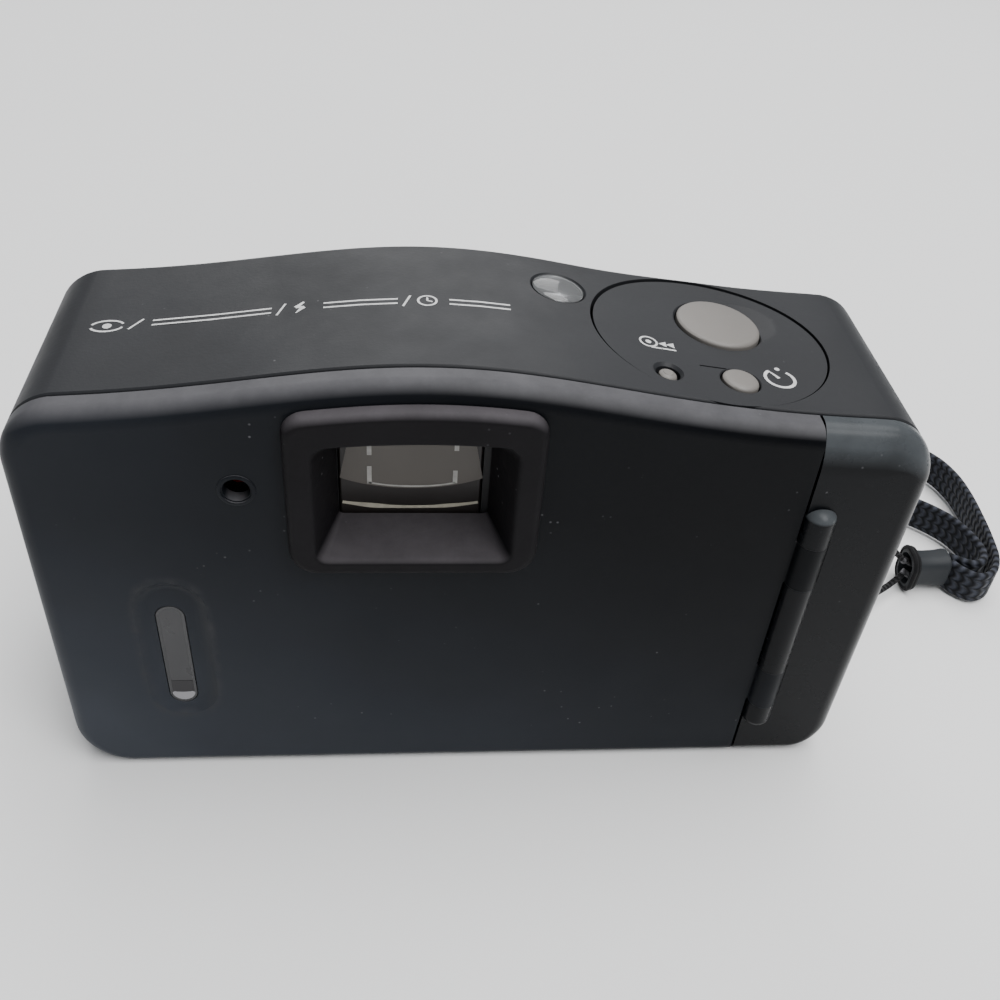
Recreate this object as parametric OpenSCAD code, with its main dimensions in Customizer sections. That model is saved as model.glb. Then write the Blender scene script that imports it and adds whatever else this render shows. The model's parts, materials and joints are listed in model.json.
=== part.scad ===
// Compact 35 mm motor-drive camera with a hinged back, a sliding lens cover and a wrist strap.
// Seen from behind: +X right, +Y towards the subject, +Z up.
// The origin is the centre of the tripod socket's mouth, on the plane the camera stands on.

/* [Body] */
// Width across both ends
body_w = 122; // [121:0.5:123]
// Tripod axis to the outer face of the back
back_y = 18; // [17.9:0.1:18.2]
// Tripod axis to the front face
front_y = 18.7; // [18.6:0.1:19.2]
// Wall thickness of the covers
wall = 1.8; // [1.6:0.1:1.8]
// Depth of the back door and the end cover
door_depth = 3.8; // [3.7:0.1:3.9]
// Height where the top cover meets the front cover
split_z = 48; // [47.5:0.5:48.5]
// Running gap between a moving panel and its neighbour
panel_gap = 0.2; // [0.15:0.05:0.25]

/* [Outline] */
// Height of the shoulders of the top
shoulder_z = 66.6; // [66.4:0.1:67]
// Fall of the top from left to right, per millimetre
crown_tilt = 0.015; // [0.01:0.005:0.02]
// Rise of the hump over the finder
crown_rise = 6.6; // [6.4:0.1:6.8]
// Centre of the hump
crown_x = -6; // [-7:0.5:-5]
// Spread of the hump
crown_spread = 34; // [33:0.5:35]
// Radius of the two top corners
top_r = 8; // [7.5:0.5:8.5]
// Radius of the bottom left corner
left_r = 8.5; // [8:0.5:9]
// Radius of the bottom right corner
right_r = 6.5; // [6:0.5:7]
// Radius of the upright edges
edge_r = 4; // [3.5:0.5:4.5]

/* [Film path] */
// Height of the film's centre line and of the lens axis
film_z = 26.8; // [26.6:0.1:27]
// Centre of the picture gate and of the lens
lens_x = -6; // [-6.2:0.1:-5.8]
// Width of the picture gate
gate_w = 36; // [35:0.5:36]
// Height of the picture gate
gate_h = 24; // [23:0.5:24]
// Radius of the film chamber
chamber_r = 13.2; // [13:0.1:13.2]
// Radius of the take-up chamber
take_up_r = 10.8; // [10.6:0.1:10.8]
// Radius of the take-up spool
spool_r = 7.5; // [7.4:0.1:7.6]

/* [Back] */
// Finder eyepiece opening, width and height
eye_open = [25.9, 19.7]; // [19:0.1:27]
// Finder eyepiece surround, width and height
eye_frame = [33.6, 26.8]; // [26:0.1:35]
// How far the eyepiece surround stands out of the back
eye_proud = 2.5; // [2.3:0.1:2.7]
// Radius of the hinge rib
rib_r = 2.25; // [2.2:0.05:2.3]
// Radius of the hinge pin
hinge_pin_r = 0.8; // [0.75:0.05:0.85]

/* [Controls] */
// Radius of the control disc
disc_r = 15.4; // [15:0.1:15.5]
// Radius of the shutter button
shutter_r = 6.25; // [6.1:0.05:6.3]
// Radius of the rewind button
rewind_r = 1.2; // [1.1:0.05:1.3]
// Radius of the self-timer button
timer_r = 2.65; // [2.55:0.05:2.7]
// Radius of the frame-counter window
counter_r = 3.75; // [3.7:0.05:3.8]

/* [Gears] */
// Gear module
gear_m = 0.5; // [0.5:0.01:0.5]
// Teeth of the motor pinion and of the idler's small wheel
small_teeth = 10; // [10:1:10]
// Teeth of the spool wheel and of the idler's large wheel
large_teeth = 26; // [26:1:26]

/* [Strap] */
// Width of the flat strap
strap_w = 7; // [6.5:0.5:7.5]
// Thickness of the flat strap
strap_t = 1.3; // [1.2:0.1:1.4]
// Diameter of the thin cord loop
loop_d = 1.2; // [1.1:0.1:1.2]

/* [Hidden] */
$fn = 64;
half_w = body_w / 2;
seam_y = -back_y + door_depth;
inner_front_y = front_y - wall;
inner_back_y = -back_y + wall;
sky = 90;
eps = 0.05;

// Hinge and door split
hinge_at = [47.2, -back_y + 0.2];
rib_z = [8.6, 54];
knuckle_z = [14, 22, 40, 48];
door_edge_x = hinge_at[0] - rib_r - 0.25;
end_edge_x = door_edge_x + 0.4;

// Film path
film_y = seam_y + 0.6;
chamber_at = [-43.4, -0.9];
chamber_z = [3.6, 52.6];
take_up_at = [32, -2.6];
take_up_z = [4, 49.6];
sprocket_at = [18.3, -9.3];
sprocket_z = [film_z - 17.8, film_z + 17.8];
perforation_rise = 14.1;
gate_x = [lens_x - gate_w / 2, lens_x + gate_w / 2];
gate_z = [film_z - gate_h / 2, film_z + gate_h / 2];
film_band_z = [film_z - 17.5, film_z + 17.5];

// Chassis outline
chassis_x = [-57.4, -28, 18, 43.5, 58.9];
chassis_z0 = 2.1;
chassis_y = [seam_y + 0.2, 12];
chamber_top_z = 55;
finder_top_z = 62.5;
gear_floor_z = take_up_z[1] + 1;

// Finder
finder_x = [-19, 0.3];
finder_z = [47.5, 60.5];
eye_x = -8.9;
sleeve_end_y = -12.4;

// Controls on the top
disc_at = [33.5, 2.3];
shutter_at = [35.4, 7.5];
rewind_at = [25.1, -6.9];
timer_at = [35.4, -6.8];
counter_at = [11.8, 10.6];
dial_at = [8.5, 5.5];
contact_z = [60, 61];

// Batteries
cell_r = 7.1;
cell_x = 51.9;
cell_y = [-6.8, 7.9];
cell_z = [5.5, 56];
battery_door_x = [44.8, 45.8];
battery_door_h = 5;
battery_door_y = [seam_y + 0.3, front_y - 2.5];
battery_hinge = [46.6, 1];
battery_pivot_r = 0.5;

// Gears
gear_pitch = gear_m * (small_teeth + large_teeth) / 2;
idler_turn = 120;
idler_at = take_up_at + gear_pitch * [cos(idler_turn), sin(idler_turn)];
low_gear_z = [gear_floor_z + 0.4, gear_floor_z + 1.6];
high_gear_z = [gear_floor_z + 2.4, gear_floor_z + 3.8];

// Lens and cover
track_z = [film_z - 14.8, film_z + 14.8];
track_x = [-20, 35];
cover_open_x = 21;
cover_half = 13;
lens_front_y = 16.3;
// Steps of a lens element's domed face
dome_steps = 6;

// Screws under the body
screw_at = [[-26, 8], [14, 8], [-26, -8], [14, -8]];

// Strap
lug_at = [63.6, 1.5];
lug_z = [23.5, 30.5];
ferrule_a = [88.4, 22, 4.7];
ferrule_b = [97, 22.2, 4.7];
loop_route = [
  [88.5, 22.8, 6], [84.5, 22.6, 9.5], [79, 19, 15], [72, 11.5, 22], [66.5, 5.5, 26], [63.4, 3.7, 26.6],
  [61.95, 1.5, 27], [63.4, -1, 27.2], [67, 1.5, 22], [72, 8, 12], [78, 13.6, 5], [84, 18.2, 3],
  [88.5, 21.3, 3.6]
];
band_route = [
  [97.3, 23.1], [99.4, 21.6], [101.8, 20.6], [104.2, 21.8], [105.2, 25], [104.3, 30], [101.8, 35],
  [96, 40.2], [87, 44], [73, 46.5], [55, 47], [36, 46], [18, 45], [7, 47], [2.5, 52.5], [7, 58.5],
  [18, 61], [36, 63], [55, 65], [73, 66], [90, 64.5], [100.5, 60.5], [106.5, 54.6], [108.9, 48.5],
  [109.4, 42], [109, 35], [108.2, 28], [107, 22.2], [104.6, 18.2], [101.4, 17], [98.8, 18.8], [97.3, 21]
];
band_mid_z = strap_w / 2 + 0.6;

// Height of the top surface above the base at a place across the body
function top_z(x) = shoulder_z - crown_tilt * x + crown_rise * exp(-pow((x - crown_x) / crown_spread, 2));

// Points of an arc about a centre
function arc_points(centre, r, from, to, steps) =
  [for (k = [0:steps]) let (a = from + (to - from) * k / steps) centre + r * [cos(a), sin(a)]];

// Outline of the body seen from behind, drawn in by an inset
function body_outline(inset) =
  let (top_x = half_w - top_r, right_c = [top_x, top_z(top_x) - top_r])
  let (left_c = [-top_x, top_z(-top_x) - top_r], span = top_x - 1, steps = 24)
  concat(
    arc_points([-half_w + left_r, left_r], left_r - inset, 180, 270, 6),
    arc_points([half_w - right_r, right_r], right_r - inset, 270, 360, 6),
    arc_points(right_c, top_r - inset, 0, 80, 6),
    [for (k = [0:steps]) let (x = span - 2 * span * k / steps) [x, top_z(x) - inset]],
    arc_points(left_c, top_r - inset, 100, 180, 6)
  );

// Outline of the body seen from above, drawn in by an inset
function plan_outline(inset) = concat(
  arc_points([-half_w + edge_r, -back_y + edge_r], edge_r - inset, 180, 270, 5),
  arc_points([half_w - edge_r, -back_y + edge_r], edge_r - inset, 270, 360, 5),
  arc_points([half_w - edge_r, front_y - edge_r], edge_r - inset, 0, 90, 5),
  arc_points([-half_w + edge_r, front_y - edge_r], edge_r - inset, 90, 180, 5)
);

// Box between two opposite corners
module block(low, high) {
  translate(low) cube(high - low);
}

// Upright cylinder between two heights
module post(at, r, z) {
  translate([at[0], at[1], z[0]]) cylinder(r = r, h = z[1] - z[0]);
}

// Cylinder along Y between two depths, at a place x, z
module rod(at, r, y) {
  translate([at[0], y[0], at[1]]) rotate([-90, 0, 0]) cylinder(r = r, h = y[1] - y[0]);
}

// Cylinder along X between two places, at a place y, z
module bar(at, r, x) {
  translate([x[0], at[0], at[1]]) rotate([0, 90, 0]) cylinder(r = r, h = x[1] - x[0]);
}

// Body outline run between two depths
module body_prism(inset, y) {
  translate([0, y[1], 0]) rotate([90, 0, 0])
    linear_extrude(height = y[1] - y[0]) polygon(body_outline(inset));
}

// Whole outer form of the body between two depths
module outer_form(y) {
  intersection() {
    body_prism(0, y);
    linear_extrude(height = sky) polygon(plan_outline(0));
  }
}

// Slot with round ends, standing upright and running along Y
module upright_slot(x, z, r, y) {
  rod([x, z[0] + r], r, y);
  rod([x, z[1] - r], r, y);
  block([x - r, y[0], z[0] + r], [x + r, y[1], z[1] - r]);
}

// Toothed wheel with straight-flanked teeth and generous backlash
module toothed_wheel(at, teeth, z, turn) {
  pitch_r = gear_m * teeth / 2;
  tooth_rise = 0.32;
  root_w = 0.72;
  tip_w = 0.42;
  post(at, pitch_r - tooth_rise, z);
  for (k = [0:teeth - 1])
    translate([at[0], at[1], z[0]]) rotate([0, 0, turn + 360 * k / teeth])
      linear_extrude(height = z[1] - z[0])
        polygon([[pitch_r - 1, -root_w / 2], [pitch_r + tooth_rise, -tip_w / 2],
                 [pitch_r + tooth_rise, tip_w / 2], [pitch_r - 1, root_w / 2]]);
}

// Smooth curve through a route, as a Catmull-Rom spline
function spline_point(a, b, c, d, t) =
  0.5 * (2 * b + (c - a) * t + (2 * a - 5 * b + 4 * c - d) * t * t + (3 * b - a - 3 * c + d) * t * t * t);
function smooth_route(route, parts) =
  let (last = len(route) - 1)
  [for (i = [0:last - 1], k = [0:parts - 1])
    spline_point(route[max(i - 1, 0)], route[i], route[i + 1], route[min(i + 2, last)], k / parts),
   route[last]];
function unit(v) = v / norm(v);

// Closed tube with a flattened eight-sided section swept along a route
module swept_tube(route, half_across, half_up) {
  count = len(route);
  corners = 8;
  ring = [for (k = [0:corners - 1]) [cos(45 * k + 22.5), sin(45 * k + 22.5)]];
  points = [for (i = [0:count - 1])
    let (along = unit(route[min(i + 1, count - 1)] - route[max(i - 1, 0)]))
    let (across = unit(cross(along, [0, 0, 1])), up = cross(across, along))
    for (c = ring) route[i] + across * half_across * c[0] + up * half_up * c[1]];
  sides = [for (i = [0:count - 2], k = [0:corners - 1])
    let (n = (k + 1) % corners)
    [i * corners + k, i * corners + n, (i + 1) * corners + n, (i + 1) * corners + k]];
  start_cap = [for (k = [corners - 1:-1:0]) k];
  end_cap = [for (k = [0:corners - 1]) (count - 1) * corners + k];
  polyhedron(points, concat([start_cap], sides, [end_cap]), convexity = 10);
}

// Die-like inner moulding: film chamber, picture gate, take-up chamber, finder tunnel, battery bay
module chassis() {
  color("#17181a") difference() {
    intersection() {
      union() {
        block([chassis_x[0], chassis_y[0], chassis_z0], [chassis_x[1], chassis_y[1], chamber_top_z]);
        block([chassis_x[1], chassis_y[0], chassis_z0], [chassis_x[2], chassis_y[1], finder_top_z]);
        block([chassis_x[2], chassis_y[0], chassis_z0], [chassis_x[3], chassis_y[1], gear_floor_z]);
        block([chassis_x[3], chassis_y[0], battery_door_h + 0.6], [chassis_x[4], 16.6, 58.5]);
        block([-34.4, chassis_y[0], chamber_top_z - 1], [-29.4, chassis_y[0] + 5, 59.6]);
        post([22.5, 12.5], 1.6, [gear_floor_z - 1, contact_z[0]]);
        post([42, -11], 1.4, [gear_floor_z - 1, contact_z[0]]);
      }
      body_prism(wall + 0.2, [chassis_y[0], 16.8]);
    }
    post(chamber_at, chamber_r, chamber_z);
    block([chamber_at[0] - chamber_r, seam_y - 1, chamber_z[0]],
          [chamber_at[0] + chamber_r, chamber_at[1], chamber_z[1]]);
    block([chamber_at[0], seam_y - 1, film_band_z[0]], [take_up_at[0], film_y + 0.4, film_band_z[1]]);
    block([gate_x[0], seam_y - 1, gate_z[0]], [gate_x[1], 1, gate_z[1]]);
    block([lens_x - 17.5, 1, film_z - 14.4], [lens_x + 17.5, chassis_y[1] + 1, film_z + 14.4]);
    post(take_up_at, take_up_r, take_up_z);
    block([take_up_at[0] - take_up_r, seam_y - 1, film_band_z[0]],
          [take_up_at[0] + take_up_r, take_up_at[1], film_band_z[1]]);
    post(take_up_at, 3.4, [take_up_z[1] - 1, gear_floor_z + 1]);
    post(sprocket_at, 5.7, sprocket_z);
    block([sprocket_at[0] - 5.7, seam_y - 1, sprocket_z[0]],
          [sprocket_at[0] + 5.7, sprocket_at[1], sprocket_z[1]]);
    post(sprocket_at, 1.58, [sprocket_z[0] - 2, sprocket_z[1] + 2]);
    post(chamber_at, 2.08, [chamber_z[1] - 1, chamber_top_z + 1]);
    block([finder_x[0] - 0.2, seam_y - 1, finder_z[0] - 0.2], [finder_x[1] + 0.2, 13, finder_z[1] + 0.2]);
    block([eye_x - 15.1, seam_y - 1, 44.6], [eye_x + 15.1, sleeve_end_y + 0.4, finder_top_z + 1]);
    rod([-31.9, 57], 1.5, [seam_y - 1, chassis_y[0] + 4]);
    post(dial_at, 1.58, [58, finder_top_z + 1]);
    for (y = cell_y) post([cell_x, y], cell_r + 0.15, [0, 57]);
    post([0, 0], 6, [0, 8]);
    for (p = screw_at) post(p, 0.9, [0, 8]);
  }
  color("#17181a") {
    for (z = [gate_z[0] - 1.6, gate_z[1]])
      block([gate_x[0] - 2, film_y, z], [gate_x[1] - 0.4, film_y + 0.5, z + 1.6]);
    post(idler_at, 0.9, [gear_floor_z - eps, high_gear_z[1] + 0.6]);
  }
}

// Front, side and bottom shell with the track of the sliding lens cover
module front_cover() {
  y = [seam_y, front_y];
  color("#2b2c30") difference() {
    union() {
      difference() {
        intersection() {
          outer_form(y);
          block([-half_w, y[0], 0], [half_w, y[1], split_z]);
        }
        body_prism(wall, [y[0] - 1, inner_front_y]);
      }
      block([track_x[0] - 1.2, 15.2, track_z[0] - 1.2],
            [track_x[1] + 1.2, inner_front_y + eps, track_z[1] + 1.2]);
    }
    block([track_x[0], 16.7, track_z[0]], [track_x[1], 17.9, track_z[1]]);
    block([track_x[0], 17.8, track_z[0] + 2.4], [track_x[1], front_y + 1, track_z[1] - 2.4]);
    rod([lens_x, film_z], 9, [14, 17]);
    block([-half_w - 1, -8.4, 22.2], [-half_w + wall + 1, -2.6, 36.4]);
    block([battery_door_x[0], seam_y - 1, -1], [half_w + 1, battery_door_y[1] + 0.3, battery_door_h + 0.3]);
    post([0, 0], 7.2, [-1, wall + 1]);
    for (p = screw_at) {
      post(p, 2, [-1, 1.2]);
      post(p, 1, [0, wall + 1]);
    }
    for (z = lug_z) bar([lug_at[1], z], 0.8, [half_w - wall - 1, half_w + 1]);
    rod(battery_hinge, battery_pivot_r + 0.05, [battery_door_y[1] - 1, battery_door_y[1] + 1.5]);
  }
}

// Top shell with the control opening, the counter window and the three front windows
module top_cover() {
  y = [seam_y, front_y];
  color("#3b3c40") difference() {
    intersection() {
      outer_form(y);
      block([-half_w, y[0], split_z + panel_gap / 2], [half_w, y[1], sky]);
    }
    body_prism(wall, [y[0] - 1, inner_front_y]);
    post(disc_at, disc_r + 0.2, [split_z + 4, sky]);
    post(counter_at, counter_r + 0.1, [split_z + 4, sky]);
    block([-52.2, 15, 52.8], [-31.8, front_y + 1, 64.2]);
    block([-19.2, 15, 50.3], [0.7, front_y + 1, 62.2]);
    rod([12, 57], 2.2, [15, front_y + 1]);
    rod([19, 57], 1.6, [15, front_y + 1]);
  }
}

// Right end of the back, carrying the fixed knuckles of the hinge rib
module end_cover() {
  color("#1a1b1e") difference() {
    union() {
      difference() {
        intersection() {
          outer_form([-back_y, seam_y - panel_gap / 2]);
          block([end_edge_x, -back_y, 0], [half_w, seam_y, sky]);
        }
        intersection() {
          body_prism(wall, [inner_back_y, seam_y]);
          block([52, inner_back_y, 0], [half_w, seam_y, sky]);
        }
      }
      for (z = [[rib_z[0], knuckle_z[0]], [knuckle_z[1], knuckle_z[2]], [knuckle_z[3], rib_z[1]]])
        post(hinge_at, rib_r, [z[0] + panel_gap / 2, z[1] - panel_gap / 2]);
    }
    for (k = [0, 2]) {
      post(hinge_at, rib_r + 0.3, [knuckle_z[k] - panel_gap / 2, knuckle_z[k + 1] + panel_gap / 2]);
      block([end_edge_x - 1, -back_y - 3, knuckle_z[k] - panel_gap / 2],
            [hinge_at[0], hinge_at[1] + 2.3, knuckle_z[k + 1] + panel_gap / 2]);
    }
    post(hinge_at, hinge_pin_r, [rib_z[0] + 0.6, rib_z[1] - 0.6]);
    rod(battery_hinge, battery_pivot_r + 0.05, [battery_door_y[0] - 1.6, battery_door_y[0] + 1]);
  }
}

// Film door: a shallow tray with openings for the eyepiece, the film window and the ready lamp
module back_door() {
  y = [-back_y, seam_y - panel_gap / 2];
  color("#141517") difference() {
    union() {
      difference() {
        intersection() {
          outer_form(y);
          block([-half_w, y[0], 0], [door_edge_x, y[1], sky]);
        }
        intersection() {
          body_prism(wall, [inner_back_y, seam_y]);
          block([-half_w, inner_back_y, 0], [door_edge_x + 1, seam_y, sky]);
        }
      }
      for (k = [0, 2]) {
        z = [knuckle_z[k] + panel_gap / 2, knuckle_z[k + 1] - panel_gap / 2];
        post(hinge_at, rib_r, z);
        block([door_edge_x - 1, -back_y, z[0]], [hinge_at[0], inner_back_y, z[1]]);
      }
      block([-58.9, inner_back_y - eps, 38.2], [-58, -11.4, 41.4]);
    }
    block([eye_x - 14.4, -back_y - 1, 45.1], [eye_x + 14.4, seam_y, 67.9]);
    upright_slot(-43.35, [14.2, 35], 2.15, [-back_y - 1, seam_y]);
    rod([-31.9, 57], 1.8, [-back_y - 1, seam_y]);
    for (k = [0, 2])
      post(hinge_at, hinge_pin_r + 0.05, [knuckle_z[k] - 1, knuckle_z[k + 1] + 1]);
  }
}

module hinge_pin() {
  color("silver") post(hinge_at, hinge_pin_r, [rib_z[0] + 0.6, rib_z[1] - 0.6]);
}

// Textured finder surround with a funnel that narrows towards the rear lens
module eyepiece_surround() {
  funnel_in = [20.6, 13.6];
  funnel_z = 54.6;
  color("#26252a") difference() {
    union() {
      block([eye_x - eye_frame[0] / 2, -back_y - eye_proud, 43.7],
            [eye_x + eye_frame[0] / 2, -back_y, 70.5]);
      block([eye_x - 14.3, -back_y - eps, 45.2], [eye_x + 14.3, sleeve_end_y, 67.8]);
    }
    hull() {
      block([eye_x - eye_open[0] / 2, -back_y - eye_proud - 1, 46.4],
            [eye_x + eye_open[0] / 2, -back_y - eye_proud + 1.2, 46.4 + eye_open[1]]);
      block([eye_x - funnel_in[0] / 2, sleeve_end_y, funnel_z - funnel_in[1] / 2],
            [eye_x + funnel_in[0] / 2, sleeve_end_y + 1, funnel_z + funnel_in[1] / 2]);
    }
  }
}

// Clear pane behind the slot that shows the film cassette
module film_window() {
  color("#8b9096") {
    upright_slot(-43.35, [14.3, 34.9], 2.05, [-back_y + 0.7, inner_back_y]);
    block([-46.8, inner_back_y, 12.4], [-39.9, inner_back_y + 0.8, 36.8]);
  }
}

// Sprung plate that holds the film flat against the rails
module pressure_plate() {
  color("#2a2a2c")
    block([gate_x[0] - 2, film_y - 0.95, film_band_z[0] + 0.3],
          [gate_x[1] + 2, film_y - 0.15, film_band_z[1] - 0.3]);
}

// Leaf spring between the door and the pressure plate
module pressure_spring() {
  leaf = 0.25;
  rise = 1.1;
  color("silver") for (z = [18, 33])
    translate([lens_x, inner_back_y, z]) linear_extrude(height = 4)
      polygon([[-12, rise - leaf], [-4, 0], [4, 0], [12, rise - leaf],
               [12, rise], [4, leaf], [-4, leaf], [-12, rise]]);
}

// Sliding catch in the left side that releases the back
module door_latch() {
  color("#232427") {
    block([-58.9, -11, 20], [-58, 1, 38]);
    block([-half_w - 1.2, -8, 26], [-57.95, -3, 36]);
    for (z = [27.5:2:34.5]) block([-half_w - 1.6, -7.6, z], [-half_w - 1.15, -3.4, z + 0.9]);
  }
}

// Foam strips that shut the light out at both ends of the back
module door_light_seals() {
  color("#0c0c0d") for (x = [-57.3, 42.1])
    block([x, inner_back_y + 0.3, 6], [x + 0.7, chassis_y[0], 50]);
}

// Round inset that carries the three buttons, flush with the top
module control_disc() {
  color("#36373b") difference() {
    intersection() {
      body_prism(0, [seam_y, front_y]);
      post(disc_at, disc_r, [split_z + 4, sky]);
    }
    body_prism(wall - 0.2, [seam_y - 1, front_y + 1]);
    post(shutter_at, shutter_r + 0.2, [split_z, sky]);
    post(rewind_at, 2.25, [split_z, sky]);
    post(timer_at, timer_r + 0.2, [split_z, sky]);
  }
}

// Button cap with a retaining flange and a stem
module button(at, r, top, flange_z, stem_z) {
  post(at, r, [flange_z, top]);
  post(at, r + 0.7, [flange_z - 0.8, flange_z]);
  post(at, min(r - 0.1, 1.5), [stem_z, flange_z]);
}

module shutter_button() {
  color("#96918c") button(shutter_at, shutter_r, 68.6, 64.8, 62.6);
}

module rewind_button() {
  color("#96918c") button(rewind_at, rewind_r, 68.2, 65, 62.2);
}

module self_timer_button() {
  color("#96918c") button(timer_at, timer_r, 68.5, 64.9, 62.2);
}

// Small board with the three switches under the buttons
module button_board() {
  color("#1f4d33") difference() {
    block([20, -12.6, contact_z[0]], [46, 14.6, contact_z[1]]);
    post([42, 12.5], 3, [contact_z[0] - 1, contact_z[1] + 1]);
  }
  color("silver")
    for (p = [shutter_at, rewind_at, timer_at]) post(p, 2, [contact_z[1] - eps, contact_z[1] + 0.3]);
}

// Clear window over the frame-counter dial
module counter_window() {
  color("#b7bbbf") {
    post(counter_at, counter_r, [68.4, 71.3]);
    post(counter_at, counter_r + 0.8, [67.8, 68.5]);
  }
}

module counter_dial() {
  color("#dcdad2") {
    post(dial_at, 8.6, [66.2, 67.2]);
    post(dial_at, 1.5, [58.4, 66.3]);
  }
}

module finder_rear_lens() {
  color("#7d756c")
    block([finder_x[0], sleeve_end_y + 0.5, finder_z[0]], [finder_x[1], sleeve_end_y + 2, finder_z[1]]);
}

module finder_front_lens() {
  color("#9aa0a4") block([finder_x[0], 9, finder_z[0]], [finder_x[1], 11, finder_z[1]]);
}

// Thin mask whose broken outline is seen as the bright frame
module bright_frame_mask() {
  y = [0, 0.4];
  color("#2c2a28") difference() {
    block([finder_x[0], y[0], finder_z[0]], [finder_x[1], y[1], finder_z[1]]);
    block([finder_x[0] + 3, y[0] - 1, finder_z[0] + 3], [finder_x[1] - 3, y[1] + 1, finder_z[1] - 2.5]);
  }
}

// Clear pane in front of the finder
module finder_window() {
  color("#9aa0a4") {
    block([-19, inner_front_y + 0.6, 50.5], [0.5, front_y - 0.3, 62]);
    block([-20.5, inner_front_y - 0.6, 49.4], [1.8, inner_front_y, 63.2]);
    block([-19, inner_front_y - eps, 50.5], [0.5, inner_front_y + 0.65, 62]);
  }
}

module ready_lamp() {
  color("#5a1512") {
    rod([-31.9, 57], 1.4, [chassis_y[0] - 0.6, chassis_y[0] + 3.6]);
  }
}

// Take-up spool: a sleeve that turns round the motor, with a slotted drum and a toothed wheel on top
module take_up_spool() {
  bore_r = 6.5;
  color("#202124") difference() {
    union() {
      post(take_up_at, spool_r, [take_up_z[0] + 0.6, take_up_z[1] - 0.4]);
      post(take_up_at, 3.2, [take_up_z[1] - 0.5, low_gear_z[0] + 0.1]);
      toothed_wheel(take_up_at, large_teeth, low_gear_z, idler_turn);
    }
    post(take_up_at, bore_r, [0, take_up_z[1] - 2.4]);
    post(take_up_at, 1, [0, sky]);
    for (turn = [0, 180])
      translate([take_up_at[0], take_up_at[1], film_z]) rotate([0, 0, turn])
        block([bore_r - 0.5, -1.6, -4], [spool_r + 1, 1.6, 4]);
  }
}

// Motor inside the spool, with its shaft
module wind_motor() {
  color("silver") {
    post(take_up_at, 6, [take_up_z[0], 36]);
    post(take_up_at, 2.2, [35.9, 37.4]);
  }
}

// Motor shaft and pinion
module motor_pinion() {
  color("goldenrod") {
    post(take_up_at, 0.75, [37.5, high_gear_z[1] + 0.8]);
    toothed_wheel(take_up_at, small_teeth, [high_gear_z[0], high_gear_z[1] + 0.2], idler_turn);
  }
}

// Double gear between the motor and the spool
module idler_gear() {
  mesh_large = idler_turn + 180 + 180 / large_teeth;
  mesh_small = idler_turn + 180 + 180 / small_teeth;
  color("#d8d4c4") difference() {
    union() {
      toothed_wheel(idler_at, small_teeth, [low_gear_z[0], high_gear_z[0] + 0.1], mesh_small);
      toothed_wheel(idler_at, large_teeth, high_gear_z, mesh_large);
    }
    post(idler_at, 0.97, [0, sky]);
  }
}

// Film-metering sprocket
module film_sprocket() {
  color("#2b2c2e") {
    post(sprocket_at, 3.7, [sprocket_z[0] + 0.3, sprocket_z[1] - 0.3]);
    post(sprocket_at, 1.5, [sprocket_z[0] - 1.8, sprocket_z[1] + 1.8]);
    for (side = [-1, 1]) {
      z = film_z + side * perforation_rise;
      post(sprocket_at, 4.4, [z - 1.6, z + 1.6]);
      for (k = [0:5])
        translate([sprocket_at[0], sprocket_at[1], z]) rotate([0, 0, 60 * k + 30])
          block([4, -0.6, -0.9], [5.3, 0.6, 0.9]);
    }
  }
}

// Fork that turns the cassette's spool, with its drive wheel above the chamber
module rewind_fork() {
  color("#2b2c2e") {
    post(chamber_at, 2, [chamber_z[1] - 0.4, chamber_top_z + 0.4]);
    post(chamber_at, 2.9, [chamber_z[1] - 1, chamber_z[1] - 0.3]);
    block([chamber_at[0] - 2.6, chamber_at[1] - 0.6, chamber_z[1] - 3.6],
          [chamber_at[0] + 2.6, chamber_at[1] + 0.6, chamber_z[1] - 0.9]);
    toothed_wheel(chamber_at, large_teeth, [chamber_top_z + 0.3, chamber_top_z + 1.5], 0);
  }
}

// Fixed plate with the aperture and the pivots of the two shutter blades
module shutter_plate() {
  color("#3a3a3c") difference() {
    block([lens_x - 17.2, 1.1, film_z - 14], [lens_x + 17.2, 2, film_z + 14]);
    rod([lens_x, film_z], 2.8, [0, 3]);
  }
  color("silver") for (side = [-1, 1]) rod([lens_x + side * 8, film_z + 7], 0.7, [1.9, 3.3]);
}

// Shutter blade on one side: a round leaf on an arm with a pivot hole
module shutter_blade(side, y) {
  pivot = [lens_x + side * 8, film_z + 7];
  leaf = [lens_x + side * 1.2, film_z];
  arm = leaf - pivot;
  color("#1b1b1c") difference() {
    union() {
      rod(leaf, 4.2, y);
      rod(pivot, 1.9, y);
      translate([pivot[0], y[0], pivot[1]]) rotate([0, -atan2(arm[1], arm[0]), 0])
        block([0, 0, -1.5], [norm(arm), y[1] - y[0], 1.5]);
    }
    rod(pivot, 0.75, [y[0] - 1, y[1] + 1]);
  }
}

module shutter_blade_left() {
  shutter_blade(-1, [2.1, 2.4]);
}

module shutter_blade_right() {
  shutter_blade(1, [2.6, 2.9]);
}

// Lens tube on a square flange
module lens_barrel() {
  color("#1d1e20") difference() {
    union() {
      block([lens_x - 17.2, 3.6, film_z - 14], [lens_x + 17.2, 4.8, film_z + 14]);
      rod([lens_x, film_z], 8.6, [4.7, lens_front_y]);
    }
    rod([lens_x, film_z], 5, [3, 6]);
    rod([lens_x, film_z], 6.2, [5.9, 9]);
    rod([lens_x, film_z], 5.4, [8.9, 12.1]);
    rod([lens_x, film_z], 7.4, [12, lens_front_y + 1]);
  }
}

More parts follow.
